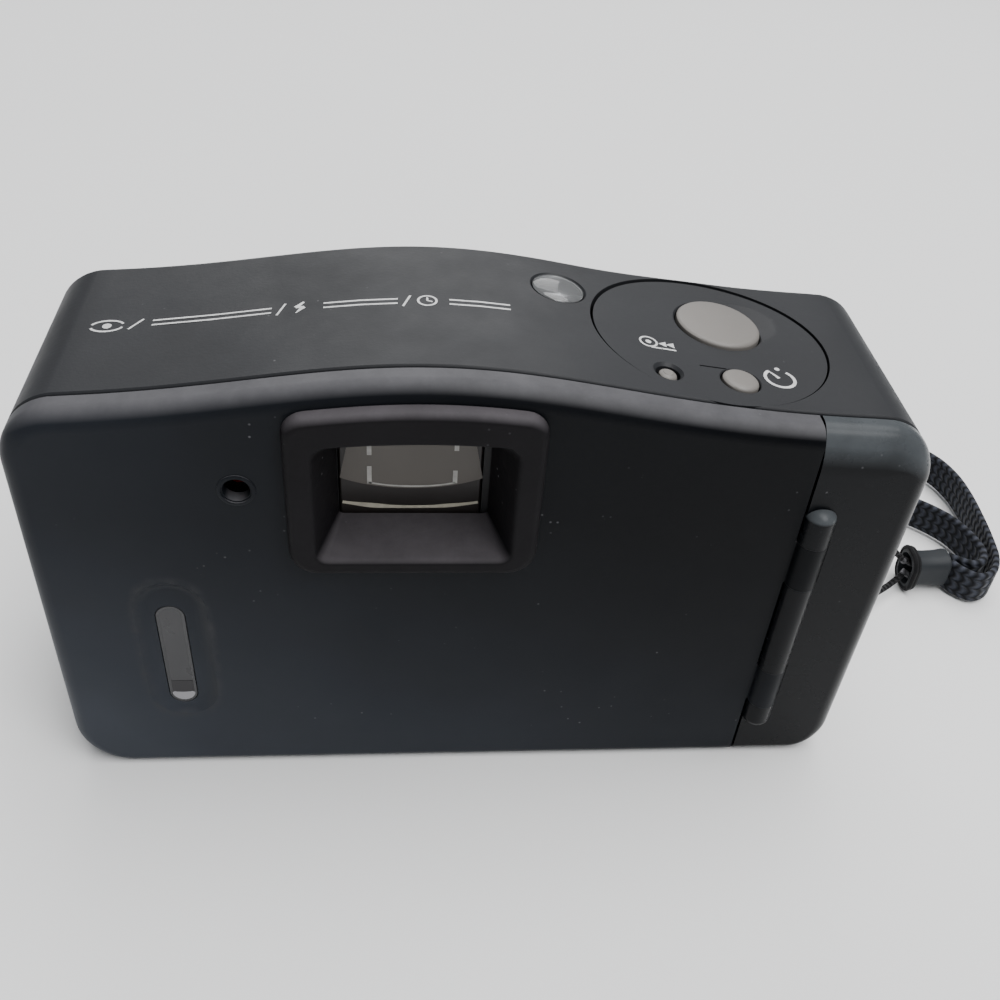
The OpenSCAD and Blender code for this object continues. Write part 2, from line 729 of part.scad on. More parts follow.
// Lens element: a disc with a domed front, turned about the lens axis
module lens_element(r, y, bulge) {
  ball_r = (r * r + bulge * bulge) / (2 * bulge);
  rim = asin(r / ball_r);
  dome = [
    for (k = [dome_steps:-1:0])
      let (a = rim * k / dome_steps)
      [ball_r * sin(a), y[1] + bulge - ball_r * (1 - cos(a))]
  ];
  translate([lens_x, 0, film_z]) rotate([-90, 0, 0]) rotate_extrude()
    polygon(concat([[0, y[0]], [r, y[0]]], dome));
}

module front_lens() {
  color("#6f7f98") lens_element(7.3, [12.1, 13.4], 1.4);
}

module rear_lens() {
  color("#6f7f98") lens_element(6.1, [6.1, 7.4], 0.9);
}

// Ring that holds the front lens in the tube
module lens_ring() {
  color("#27282b") difference() {
    rod([lens_x, film_z], 7.35, [14.95, lens_front_y]);
    rod([lens_x, film_z], 5.6, [13, lens_front_y + 1]);
  }
}

// Sliding lens cover, drawn in its open place
module lens_cover() {
  x = [cover_open_x - cover_half, cover_open_x + cover_half];
  color("#2f3034") {
    block([x[0], 16.95, track_z[0] + 0.3], [x[1], 17.6, track_z[1] - 0.3]);
    block([x[0], 17.5, track_z[0] + 2.7], [x[1], front_y + 1.1, track_z[1] - 2.7]);
    for (k = [0:3])
      block([x[1] - 5 + k * 1.2, front_y + 1, film_z - 8], [x[1] - 4.4 + k * 1.2, front_y + 1.5, film_z + 8]);
  }
}

// Clear window over the flash
module flash_window() {
  color("#c9ced2") {
    block([-52, inner_front_y - eps, 53], [-32, front_y - 0.2, 64]);
    block([-53.4, inner_front_y - 0.8, 51.8], [-30.6, inner_front_y, 65]);
  }
}

// Trough behind the flash window
module flash_reflector() {
  y = [8, inner_front_y - 1];
  color("#d9dadc") difference() {
    block([-52, y[0], 55.6], [-32, y[1], 64]);
    hull() {
      block([-50.8, y[1], 56.4], [-33.2, y[1] + 1, 63.2]);
      block([-50.8, y[0] + 1, 58.4], [-33.2, y[0] + 2, 61.2]);
    }
  }
}

module flash_tube() {
  color("#e6e8ea") bar([11.4, 59.8], 1.2, [-50.8, -33.2]);
}

module flash_capacitor() {
  color("#1c2a4a") bar([-4, 61.6], 4.2, [-52, -29.5]);
}

// Main board over the finder
module circuit_board() {
  color("#1f4d33") block([-28, -10, 63.2], [-1, 14, 64.3]);
  color("#101112") {
    block([-24, -6, 64.25], [-15, 3, 65.8]);
    block([-11, -4, 64.25], [-6, 4, 65.4]);
    block([-22, 7, 64.25], [-18, 11, 65.6]);
  }
}

module light_sensor() {
  color("#20262c") rod([12, 57], 2.1, [inner_front_y - 1.6, front_y - 0.2]);
}

module self_timer_lamp() {
  color("#7c1713") rod([19, 57], 1.5, [inner_front_y - 1.6, front_y + 0.1]);
}

// Two round cells standing side by side
module battery_cells() {
  color("#3f6f4f") for (y = cell_y) {
    post([cell_x, y], cell_r, [cell_z[0], cell_z[1] - 1.2]);
    post([cell_x, y], 2.7, [cell_z[1] - 1.3, cell_z[1]]);
  }
}

module battery_top_contact() {
  color("gainsboro") for (y = cell_y) post([cell_x, y], 4.5, [cell_z[1], cell_z[1] + 0.6]);
}

// Battery door in the bottom right corner, with a finger lip on the end
module battery_door() {
  y = battery_door_y;
  color("#1d1e21") difference() {
    union() {
      intersection() {
        body_prism(0, y);
        block([battery_door_x[1], y[0], 0], [half_w, y[1], battery_door_h]);
      }
      block([half_w - 0.6, -6, battery_door_h - 2.4], [half_w + 0.7, 6, battery_door_h - 0.4]);
      rod(battery_hinge, battery_pivot_r, [y[0] - 1.4, y[1] + 1.3]);
    }
    intersection() {
      body_prism(wall, [y[0] + 1.2, y[1] - 1.2]);
      block([battery_door_x[1] + 2.2, y[0], wall], [half_w, y[1], battery_door_h + 1]);
    }
    block([battery_door_x[0], y[0] - 1, 3], [battery_door_x[1] + 2.6, y[1] + 1, battery_door_h + 1]);
  }
}

// Bridge plate inside the battery door
module battery_door_contact() {
  color("gainsboro") block([49, -10, wall], [54, 11, wall + 0.5]);
  color("gainsboro") for (y = cell_y) post([51.4, y], 2.5, [wall + 0.4, cell_z[0] - 0.2]);
}

// Threaded brass bush for a 1/4-20 tripod screw
module tripod_bush() {
  thread_r = 3.175;
  color("goldenrod") difference() {
    union() {
      post([0, 0], 6, [wall, 8]);
      post([0, 0], 7.2, [0, wall + 0.3]);
    }
    post([0, 0], thread_r, [-1, 7]);
  }
}

module case_screws() {
  color("silver") for (p = screw_at) difference() {
    union() {
      post(p, 0.9, [0.3, 7]);
      post(p, 1.8, [0.25, 1.2]);
    }
    block([p[0] - 1.1, p[1] - 0.2, 0], [p[0] + 1.1, p[1] + 0.2, 0.6]);
    block([p[0] - 0.2, p[1] - 1.1, 0], [p[0] + 0.2, p[1] + 1.1, 0.6]);
  }
}

// Wire eye on the right side for the strap
module strap_lug() {
  color("silver") {
    post(lug_at, 0.8, lug_z);
    for (z = lug_z) {
      bar([lug_at[1], z], 0.8, [half_w - wall, lug_at[0]]);
      translate([lug_at[0], lug_at[1], z]) sphere(r = 0.8);
    }
  }
}

// Thin cord loop from the sleeve round the wire eye and back
module strap_loop() {
  color("#101114") swept_tube(smooth_route(loop_route, 2), loop_d / 2, loop_d / 2);
}

// Rubber sleeve that holds the cord loop and both ends of the strap
module strap_ferrule() {
  run = ferrule_b - ferrule_a;
  half = [3.1, 4.4];
  color("#55575a") translate(ferrule_a) rotate([0, 0, atan2(run[1], run[0])])
    block([0, -half[0], -half[1]], [norm(run), half[0], half[1]]);
}

// Flat braided strap standing on its edge
module strap_band() {
  route = [for (p = smooth_route(band_route, 2)) [p[0], p[1], band_mid_z]];
  color("#12141c") swept_tube(route, strap_t / 2, strap_w / 2);
}

chassis();
front_cover();
top_cover();
end_cover();
back_door();
hinge_pin();
eyepiece_surround();
film_window();
pressure_plate();
pressure_spring();
door_latch();
door_light_seals();
control_disc();
shutter_button();
rewind_button();
self_timer_button();
button_board();
counter_window();
counter_dial();
finder_rear_lens();
finder_front_lens();
bright_frame_mask();
finder_window();
ready_lamp();
take_up_spool();
wind_motor();
motor_pinion();
idler_gear();
film_sprocket();
rewind_fork();
shutter_plate();
shutter_blade_left();
shutter_blade_right();
lens_barrel();
front_lens();
rear_lens();
lens_ring();
lens_cover();
flash_window();
flash_reflector();
flash_tube();
flash_capacitor();
circuit_board();
light_sensor();
self_timer_lamp();
battery_cells();
battery_top_contact();
battery_door();
battery_door_contact();
tripod_bush();
case_screws();
strap_lug();
strap_loop();
strap_ferrule();
strap_band();
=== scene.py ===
import json
from math import cos, exp, pi, radians, sin, sqrt

import bpy
import bmesh
from mathutils import Matrix, Vector


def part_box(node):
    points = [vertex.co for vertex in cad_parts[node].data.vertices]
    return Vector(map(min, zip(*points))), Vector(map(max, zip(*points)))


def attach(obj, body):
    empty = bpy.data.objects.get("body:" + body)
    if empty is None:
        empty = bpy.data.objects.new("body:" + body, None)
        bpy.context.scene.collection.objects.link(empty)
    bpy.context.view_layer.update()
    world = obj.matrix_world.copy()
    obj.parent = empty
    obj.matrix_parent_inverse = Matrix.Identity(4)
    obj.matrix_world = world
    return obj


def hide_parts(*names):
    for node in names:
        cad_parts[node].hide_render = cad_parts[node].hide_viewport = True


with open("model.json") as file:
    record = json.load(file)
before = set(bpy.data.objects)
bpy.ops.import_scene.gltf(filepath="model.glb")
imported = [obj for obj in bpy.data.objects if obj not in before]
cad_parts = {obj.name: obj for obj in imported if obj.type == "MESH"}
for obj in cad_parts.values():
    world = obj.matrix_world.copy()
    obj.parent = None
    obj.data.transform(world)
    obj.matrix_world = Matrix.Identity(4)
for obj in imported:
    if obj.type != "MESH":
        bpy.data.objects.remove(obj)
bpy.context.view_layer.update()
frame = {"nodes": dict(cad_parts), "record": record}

MM = 0.001


# ---------------------------------------------------------------- camera
def make_camera():
    """The view of the photo, solved from the body's straight edges."""
    yaw, pitch, roll = radians(7.2), radians(39.9), radians(4.8)
    look = Vector((sin(yaw) * cos(pitch), cos(yaw) * cos(pitch), -sin(pitch)))
    level = Vector((cos(yaw), -sin(yaw), 0))
    lift = level.cross(look)
    right = cos(roll) * level + sin(roll) * lift
    up = cos(roll) * lift - sin(roll) * level
    data = bpy.data.cameras.new("camera")
    data.sensor_width = 36
    data.lens = 39.7
    data.clip_start = 0.01
    camera = bpy.data.objects.new("camera", data)
    place = Matrix((right, up, -look)).transposed().to_4x4()
    place.translation = Vector((-11.7, -129.4, 149.4)) * MM
    camera.matrix_world = place
    bpy.context.collection.objects.link(camera)
    bpy.context.scene.camera = camera


make_camera()

# ---------------------------------------------------------------- the strap and its cord
# Routes repeat those of the CAD source, in millimetres.
LOOP_ROUTE = [
    (88.5, 22.8, 6), (84.5, 22.6, 9.5), (79, 19, 15), (72, 11.5, 22), (66.5, 5.5, 26), (63.4, 3.7, 26.6),
    (61.95, 1.5, 27), (63.4, -1, 27.2), (67, 1.5, 22), (72, 8, 12), (78, 13.6, 5), (84, 18.2, 3),
    (88.5, 21.3, 3.6),
]
BAND_ROUTE = [
    (97.3, 23.1), (99.4, 21.6), (101.8, 20.6), (104.2, 21.8), (105.2, 25), (104.3, 30), (101.8, 35),
    (96, 40.2), (87, 44), (73, 46.5), (55, 47), (36, 46), (18, 45), (7, 47), (2.5, 52.5), (7, 58.5),
    (18, 61), (36, 63), (55, 65), (73, 66), (90, 64.5), (100.5, 60.5), (106.5, 54.6), (108.9, 48.5),
    (109.4, 42), (109, 35), (108.2, 28), (107, 22.2), (104.6, 18.2), (101.4, 17), (98.8, 18.8), (97.3, 21),
]
STRAP_W = 7
STRAP_T = 1.3
LOOP_D = 1.2
BAND_Z = STRAP_W / 2 + 0.6


def smooth_route(route, parts):
    """Catmull-Rom spline through the route's points."""
    points = [Vector(p) for p in route]
    last = len(points) - 1
    line = []
    for i in range(last):
        a, b, c, d = points[max(i - 1, 0)], points[i], points[i + 1], points[min(i + 2, last)]
        for k in range(parts):
            t = k / parts
            line.append(0.5 * (2 * b + (c - a) * t + (2 * a - 5 * b + 4 * c - d) * t * t
                               + (3 * b - a - 3 * c + d) * t ** 3))
    return line + [points[-1]]


def new_mesh(name, verts, faces, uvs=None):
    """Object from points in millimetres; uvs gives one pair per vertex."""
    mesh = bpy.data.meshes.new(name)
    mesh.from_pydata([Vector(v) * MM for v in verts], [], faces)
    if uvs:
        layer = mesh.uv_layers.new(name="uv")
        for loop in mesh.loops:
            layer.data[loop.index].uv = uvs[loop.vertex_index]
    obj = bpy.data.objects.new(name, mesh)
    bpy.context.collection.objects.link(obj)
    return obj


def swept(name, line, section, uv_scale):
    """Closed tube that carries a section, given across and up, along a line."""
    verts, faces, uvs = [], [], []
    n, count, run = len(section), len(line), 0.0
    for i, p in enumerate(line):
        along = (line[min(i + 1, count - 1)] - line[max(i - 1, 0)]).normalized()
        across = along.cross(Vector((0, 0, 1))).normalized()
        up = across.cross(along)
        run += (p - line[i - 1]).length if i else 0
        for k, (a, b) in enumerate(section):
            verts.append(p + across * a + up * b)
            uvs.append((run * uv_scale, b * uv_scale))
    for i in range(count - 1):
        for k in range(n):
            m = (k + 1) % n
            faces.append((i * n + k, i * n + m, (i + 1) * n + m, (i + 1) * n + k))
    faces += [tuple(reversed(range(n))), tuple((count - 1) * n + k for k in range(n))]
    return new_mesh(name, verts, faces, uvs)


def rounded_section(half_across, half_up, r, steps=4):
    points = []
    for cx, cy, start in ((1, 1, 0), (-1, 1, 90), (-1, -1, 180), (1, -1, 270)):
        for k in range(steps + 1):
            a = radians(start + 90 * k / steps)
            points.append((cx * (half_across - r) + r * cos(a), cy * (half_up - r) + r * sin(a)))
    return points


def make_strap():
    line = smooth_route([(x, y, BAND_Z) for x, y in BAND_ROUTE], 8)
    band = swept("strap_band_braid", line, rounded_section(STRAP_T / 2, STRAP_W / 2, 0.55), MM)
    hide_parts("strap_band")
    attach(band, "camera")
    cord_line = smooth_route(LOOP_ROUTE, 8)
    loop = swept("strap_cord_loop", cord_line, rounded_section(LOOP_D / 2, LOOP_D / 2, LOOP_D / 2), MM)
    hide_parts("strap_loop")
    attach(loop, "camera")
    return band, loop


BAND, LOOP = make_strap()


# ---------------------------------------------------------------- the body's form
def in_mm(metres):
    """Length in millimetres, free of the mesh's rounding."""
    return round(metres / MM, 2)


def centre_of(node, axes=(0, 1)):
    """Middle of a CAD node's box along two axes, in millimetres."""
    low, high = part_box(node)
    return tuple(in_mm((low[k] + high[k]) / 2) for k in axes)


def joint_place(name):
    """Position of a joint of the record in x, y, in millimetres."""
    joint = next(j for j in frame["record"]["behaviour"]["joints"] if j["name"] == name)
    return tuple(in_mm(v) for v in joint["pos_m"][:2])


HALF_W, FRONT_Y, SPLIT_Z = (in_mm(v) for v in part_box("front_cover")[1])
HINGE = joint_place("door_swing")
HINGE_IN = 0.2
BACK_Y = round(HINGE[1] - HINGE_IN, 2)
RIB_R = round(HINGE[1] - in_mm(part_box("end_cover")[0].y), 2)
PIN_COVER = 0.6
RIB_Z = tuple(round(in_mm(corner.z) + way * PIN_COVER, 2)
              for corner, way in zip(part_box("hinge_pin"), (-1, 1)))
SHUTTER, REWIND, TIMER = (centre_of(f"{name}_button") for name in ("shutter", "rewind", "self_timer"))
COUNTER = centre_of("counter_window")
LENS_X, FILM_Z = centre_of("lens_barrel", (0, 2))
EYE_X = centre_of("eyepiece_surround")[0]
LAMP = centre_of("ready_lamp", (0, 2))
PANE = centre_of("finder_rear_lens", (0, 2))
FILM_SLOT = centre_of("film_window", (0, 2))

# Typed values. The seam, the brow and the disc's oval are fitted to the view, up to 1.7 mm from the CAD's.
# The disc's sink, the film window's dish and the front's edge radius are shaped only here. The rest
# repeat the CAD source.
SEAM_Y, BROW_Y = -13.1, 19.8
WALL = 1.8
TOP_R, LEFT_R, RIGHT_R = 8, 8.5, 6.5
DOOR_EDGE_X, END_EDGE_X = 44.7, 45.1
KNUCKLE_Z = (14, 22, 40, 48)
DISC, DISC_HALF = (33.2, 3.1), (17.1, 16)
DISC_SINK = 0.12
DISH = (-43, 26.4)
COUNTER_R = 3.75
FRONT_EDGE = 1.6


def top_z(x):
    return 66.6 - 0.015 * x + 6.6 * exp(-((x + 6) / 34) ** 2)


def top_slope(x):
    return top_z(x + 0.5) - top_z(x - 0.5)


def arc(cx, cz, r, start, end, steps):
    angles = [radians(start + (end - start) * k / steps) for k in range(steps + 1)]
    return [Vector((cx + r * cos(a), cz + r * sin(a))) for a in angles]


def body_outline(inset):
    """Closed outline in x, z, always with the same number of points."""
    top_x = HALF_W - TOP_R
    span = top_x - 1
    line = arc(-HALF_W + LEFT_R, LEFT_R, LEFT_R - inset, 180, 270, 12)
    line += arc(HALF_W - RIGHT_R, RIGHT_R, RIGHT_R - inset, 270, 360, 12)
    line += arc(top_x, top_z(top_x) - TOP_R, TOP_R - inset, 0, 80, 12)
    line += [Vector((x, top_z(x) - inset)) for x in (span - 2 * span * k / 72 for k in range(73))]
    line += arc(-top_x, top_z(-top_x) - TOP_R, TOP_R - inset, 100, 180, 12)
    return line


OUTLINE = body_outline(0)
INWARD = [b - a for a, b in zip(OUTLINE, body_outline(1))]


def smooth_step(low, high, value):
    t = min(max((value - low) / (high - low), 0), 1)
    return t * t * (3 - 2 * t)


def swell(p, y):
    """Fullness of the grip: the right end widens upwards and its shoulder bows forward."""
    out = 0.9 * smooth_step(40, 58, p.x) * smooth_step(4, 45, p.y)
    forward = 1.3 * smooth_step(16, 36, p.x) * smooth_step(44, 58, p.y) * smooth_step(4, BROW_Y, y)
    return out, forward


def body_ring(y, side, top, bottom):
    """Ring of the body at a depth, drawn in by its own amount at the sides, the top and the bottom."""
    ring = []
    for p, n in zip(OUTLINE, INWARD):
        upright = bottom if n.y > 0 else top
        q = p + n * sqrt((side * n.x) ** 2 + (upright * n.y) ** 2)
        out, forward = swell(p, y)
        ring.append((q.x + out, y + forward, q.y))
    return ring


def loft(name, rings):
    """Closed solid through rings of equal length, in millimetres."""
    n = len(rings[0])
    verts = [p for ring in rings for p in ring]
    faces = [(i * n + k, i * n + (k + 1) % n, (i + 1) * n + (k + 1) % n, (i + 1) * n + k)
             for i in range(len(rings) - 1) for k in range(n)]
    faces += [tuple(reversed(range(n))), tuple((len(rings) - 1) * n + k for k in range(n))]
    obj = new_mesh(name, verts, faces)
    outward(obj)
    return obj


def outward(obj):
    work = bmesh.new()
    work.from_mesh(obj.data)
    bmesh.ops.remove_doubles(work, verts=work.verts, dist=1e-7)
    bmesh.ops.recalc_face_normals(work, faces=work.faces)
    work.to_mesh(obj.data)
    work.free()


def drop(obj):
    bpy.data.objects.remove(obj, do_unlink=True)


def combine(obj, other, operation):
    """Boolean of two closed solids; the second is used up."""
    step = obj.modifiers.new("step", "BOOLEAN")
    step.operation = operation
    step.solver = "MANIFOLD"
    step.object = other
    bpy.context.view_layer.update()
    done = bpy.data.meshes.new_from_object(obj.evaluated_get(bpy.context.evaluated_depsgraph_get()))
    obj.modifiers.clear()
    obj.data = done
    drop(other)
    return obj


def cut(obj, *cutters):
    for cutter in cutters:
        combine(obj, cutter, "DIFFERENCE")
    return obj


def add(obj, *others):
    for other in others:
        combine(obj, other, "UNION")
    return obj


def keep(obj, other):
    return combine(obj, other, "INTERSECT")


def box(low, high):
    corners = [(x, y, z) for x in (low[0], high[0]) for y in (low[1], high[1]) for z in (low[2], high[2])]
    faces = [(0, 1, 3, 2), (4, 6, 7, 5), (0, 4, 5, 1), (2, 3, 7, 6), (0, 2, 6, 4), (1, 5, 7, 3)]
    obj = new_mesh("box", corners, faces)
    outward(obj)
    return obj


def lathe(name, profile, at, axis="z", lean=0.0, steps=72):
    """Solid turned from (radius, along) pairs about an upright axis at x, y or an axis along y at x, z.
    lean shears an upright solid so that its rim follows a sloping surface."""
    rings = []
    for r, h in profile:
        ring = []
        for k in range(steps):
            a, b = max(r, 0.001) * cos(2 * pi * k / steps), max(r, 0.001) * sin(2 * pi * k / steps)
            ring.append((at[0] + a, at[1] + b, h + lean * a) if axis == "z" else (at[0] + a, h, at[1] + b))
        rings.append(ring)
    return loft(name, rings)


def round_rect(half_x, half_z, r, steps=6):
    return rounded_section(half_x, half_z, max(min(r, half_x - 0.01, half_z - 0.01), 0.05), steps)


def pocket(name, centre, half, r, steps):
    """Solid along y with a rounded-rectangle section; steps are (y, growth) pairs."""
    rings = []
    for y, grow in steps:
        section = round_rect(half[0] + grow, half[1] + grow, r + grow)
        rings.append([(centre[0] + a, y, centre[1] + b) for a, b in section])
    return loft(name, rings)


def dressed(obj, name, material, body, slot_name, *nodes, angle=32):
    """Name, shade, paint and attach a finished piece."""
    obj.name = name
    obj.data.name = name
    mesh = obj.data
    mesh.polygons.foreach_set("use_smooth", [True] * len(mesh.polygons))
    mesh.set_sharp_from_angle(angle=radians(angle))
    even = obj.modifiers.new("even_shading", "WEIGHTED_NORMAL")
    even.keep_sharp = True
    mesh.materials.clear()
    mesh.materials.append(material)
    if nodes:
        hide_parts(*nodes)
    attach(obj, body)
    return obj


# ---------------------------------------------------------------- materials
class Nodes:
    """Small helper that strings shader nodes together."""

    def __init__(self, name):
        self.material = bpy.data.materials.new(name)
        self.material.use_nodes = True
        self.tree = self.material.node_tree
        self.shader = self.tree.nodes["Principled BSDF"]
        self.place = self.tree.nodes.new("ShaderNodeTexCoord").outputs["Object"]

    def put(self, kind, **values):
        node = self.tree.nodes.new(kind)
        for key, value in values.items():
            setattr(node, key, value)
        return node

    def link(self, a, b):
        self.tree.links.new(a, b)

    def set(self, **values):
        for key, value in values.items():
            self.shader.inputs[key.replace("_", " ")].default_value = value

    def noise(self, scale, detail=4.0, rough=0.5, place=None):
        node = self.put("ShaderNodeTexNoise")
        node.inputs["Scale"].default_value = scale
        node.inputs["Detail"].default_value = detail
        node.inputs["Roughness"].default_value = rough
        self.link(place or self.place, node.inputs["Vector"])
        return node.outputs["Fac"]

    def specks(self, scale, size):
        """Small round specks, 1 on a speck and 0 off it."""
        node = self.put("ShaderNodeTexVoronoi")
        node.inputs["Scale"].default_value = scale
        self.link(self.place, node.inputs["Vector"])
        return self.ramp(node.outputs["Distance"], size, size * 0.4)

    def upward(self, low=0.15, high=0.75):
        """1 on faces that look up, 0 on upright ones."""
        split = self.put("ShaderNodeSeparateXYZ")
        self.link(self.put("ShaderNodeNewGeometry").outputs["Normal"], split.inputs["Vector"])
        return self.ramp(split.outputs["Z"], low, high)

    def across(self, axis, low, high, clamp=True):
        """0 to 1 along one axis of the body, between two places in millimetres."""
        split = self.put("ShaderNodeSeparateXYZ")
        self.link(self.place, split.inputs["Vector"])
        return self.ramp(split.outputs[axis], low * MM, high * MM, clamp=clamp)

    def rim(self, centre, half, spread):
        """1 along the edge of an upright oval on the back, fading to 0 on both sides of it."""
        (x, z), (half_x, half_z) = centre, half
        off_x = self.across("X", x, x + half_x, clamp=False)
        off_z = self.across("Z", z, z + half_z, clamp=False)
        squares = self.maths("ADD", self.maths("POWER", self.maths("ABSOLUTE", off_x, 0), 2.6),
                             self.maths("POWER", self.maths("ABSOLUTE", off_z, 0), 4.5))
        off = self.maths("ABSOLUTE", self.maths("SUBTRACT", squares, 1), 0)
        return self.ramp(off, 0, spread, 1, 0)

    def ramp(self, value, low, high, to_low=0.0, to_high=1.0, clamp=True):
        node = self.put("ShaderNodeMapRange", clamp=clamp)
        for key, number in zip(("From Min", "From Max", "To Min", "To Max"), (low, high, to_low, to_high)):
            node.inputs[key].default_value = number
        self.link(value, node.inputs["Value"])
        return node.outputs["Result"]

    def maths(self, operation, a, b):
        node = self.put("ShaderNodeMath", operation=operation)
        for socket, value in zip(node.inputs, (a, b)):
            if isinstance(value, (int, float)):
                socket.default_value = value
            else:
                self.link(value, socket)
        return node.outputs["Value"]

    def mix(self, factor, a, b):
        node = self.put("ShaderNodeMix", data_type="RGBA")
        self.link(factor, node.inputs["Factor"])
        for socket, value in ((node.inputs["A"], a), (node.inputs["B"], b)):
            if isinstance(value, tuple):
                socket.default_value = (*value, 1)
            else:
                self.link(value, socket)
        return node.outputs["Result"]

    def bump(self, height, strength, distance):
        node = self.put("ShaderNodeBump")
        node.inputs["Strength"].default_value = strength
        node.inputs["Distance"].default_value = distance
        self.link(height, node.inputs["Height"])
        self.link(node.outputs["Normal"], self.shader.inputs["Normal"])


def times(color, factor):
    return tuple(min(c * factor, 1) for c in color)


def plastic(name, color, rough, grain=1800, bump=0.25, dust=0.25, dust_color=(0.3, 0.3, 0.3), coat=0.0,
            shine=0.5, upward_light_and_dust=None, rise=(0.15, 0.75), back_reflection=None):
    """Moulded plastic: spark-eroded grain, handling marks in the gloss, specks of dust, wear, and painted
    light where it is asked for.

    upward_light_and_dust is the colour of faces that look up, lightened partly by dust and rubbing and
    partly as a painted highlight of the light from above, and rise says how far up they must look;
    back_reflection is the colour of a painted reflection that grows towards the lower left of the back,
    which also brings dust gathered along the edge of the film window's recess.
    """
    n = Nodes(name)
    broad = n.noise(35, 3)
    fine = n.noise(grain, 2, 0.6)
    cloud = n.mix(n.ramp(broad, 0.3, 0.7), times(color, 0.86), times(color, 1.14))
    # Painted reflection: a lighter, bluer tone that grows towards the lower left of the back; the ring after
    # it is dust along the film window's recess.
    if back_reflection:
        film = n.maths("ADD", n.maths("MULTIPLY", n.across("X", 42, -62), 0.62),
                       n.maths("MULTIPLY", n.across("Z", 52, 4), 0.5))
        patchy = n.maths("MULTIPLY", n.maths("MULTIPLY", film, film), n.ramp(broad, 0.2, 0.8, 0.75, 1.1))
        cloud = n.mix(patchy, cloud, back_reflection)
        patches = n.ramp(n.noise(400, 4, 0.7), 0.4, 0.75, 0.1, 0.8)
        gathered = n.maths("MULTIPLY", n.rim(DISH, (5.3, 14), 0.5), patches)
        cloud = n.mix(gathered, cloud, times(dust_color, 0.22))
    # Painted highlight on faces that look up, mixed with the dust and rubbing that lighten them.
    if upward_light_and_dust:
        patchy_light_and_dust = n.ramp(n.noise(140, 5, 0.7), 0.3, 0.7, 0.75, 1.1)
        cloud = n.mix(n.maths("MULTIPLY", n.upward(*rise), patchy_light_and_dust), cloud, upward_light_and_dust)
    dots = n.maths("MULTIPLY", n.specks(420, 0.09), n.ramp(n.noise(60, 2), 0.52, 0.66))
    n.link(n.mix(n.maths("MULTIPLY", dots, dust), cloud, dust_color), n.shader.inputs["Base Color"])
    smear = n.ramp(n.noise(90, 5, 0.65), 0.3, 0.7, rough - 0.06, rough + 0.07)
    n.link(smear, n.shader.inputs["Roughness"])
    n.bump(n.maths("ADD", fine, n.maths("MULTIPLY", n.noise(220, 2), 0.4)), bump, 0.00006)
    n.set(Coat_Weight=coat, Coat_Roughness=0.12, Specular_IOR_Level=shine)
    return n.material


def metal(name, color, rough, grain=(60, 60, 2500)):
    """Drawn or turned metal with fine lines along one direction."""
    n = Nodes(name)
    stretch = n.put("ShaderNodeMapping")
    stretch.inputs["Scale"].default_value = grain
    n.link(n.place, stretch.inputs["Vector"])
    lines = n.noise(1, 3, 0.6, stretch.outputs["Vector"])
    tone = n.mix(n.ramp(lines, 0.3, 0.7), times(color, 0.82), times(color, 1.08))
    n.link(tone, n.shader.inputs["Base Color"])
    n.link(n.ramp(lines, 0.3, 0.7, rough - 0.07, rough + 0.08), n.shader.inputs["Roughness"])
    n.set(Metallic=1.0)
    n.bump(lines, 0.2, 0.00004)
    return n.material


def clear(name, color, rough=0.05, body=0.85):
    """Moulded clear plastic or glass with faint smears."""
    n = Nodes(name)
    smear = n.ramp(n.noise(140, 4), 0.35, 0.7, rough, rough + 0.09)
    n.link(smear, n.shader.inputs["Roughness"])
    n.link(n.mix(n.ramp(n.noise(50, 2), 0.3, 0.7), times(color, 0.94), color), n.shader.inputs["Base Color"])
    n.set(Transmission_Weight=body, IOR=1.45)
    return n.material


def woven(name, dark, light, along, across):
    """Flat braid: two families of plaited yarns drawn along and across the strap."""
    n = Nodes(name)
    split = n.put("ShaderNodeSeparateXYZ")
    uv = n.put("ShaderNodeTexCoord").outputs["UV"]
    n.link(uv, split.inputs["Vector"])
    run, width = split.outputs["X"], split.outputs["Y"]
    chevron = n.maths("ABSOLUTE", n.maths("SINE", n.maths("MULTIPLY", width, pi * across), 0), 0)
    slant = n.maths("ADD", n.maths("MULTIPLY", run, 2 * pi * along), n.maths("MULTIPLY", chevron, 2.6))
    yarn = n.ramp(n.maths("SINE", slant, 0), -1, 1)
    body = n.maths("MULTIPLY", yarn, n.ramp(chevron, 0, 0.5, 0.35, 1))
    fuzz = n.noise(2600, 2)
    tone = n.mix(n.maths("MULTIPLY", body, n.ramp(fuzz, 0.2, 0.7, 0.6, 1.2)), dark, light)
    n.link(tone, n.shader.inputs["Base Color"])
    n.set(Roughness=0.78, Sheen_Weight=0.08, Sheen_Roughness=0.4, Specular_IOR_Level=0.2)
    n.bump(n.maths("ADD", body, n.maths("MULTIPLY", fuzz, 0.25)), 0.9, 0.00035)
    return n.material


def printed(name, color):
    """Pad-printed ink, thin in places."""
    n = Nodes(name)
    tone = n.mix(n.ramp(n.noise(900, 3), 0.35, 0.65), times(color, 0.8), color)
    n.link(tone, n.shader.inputs["Base Color"])
    n.set(Roughness=0.55)
    return n.material


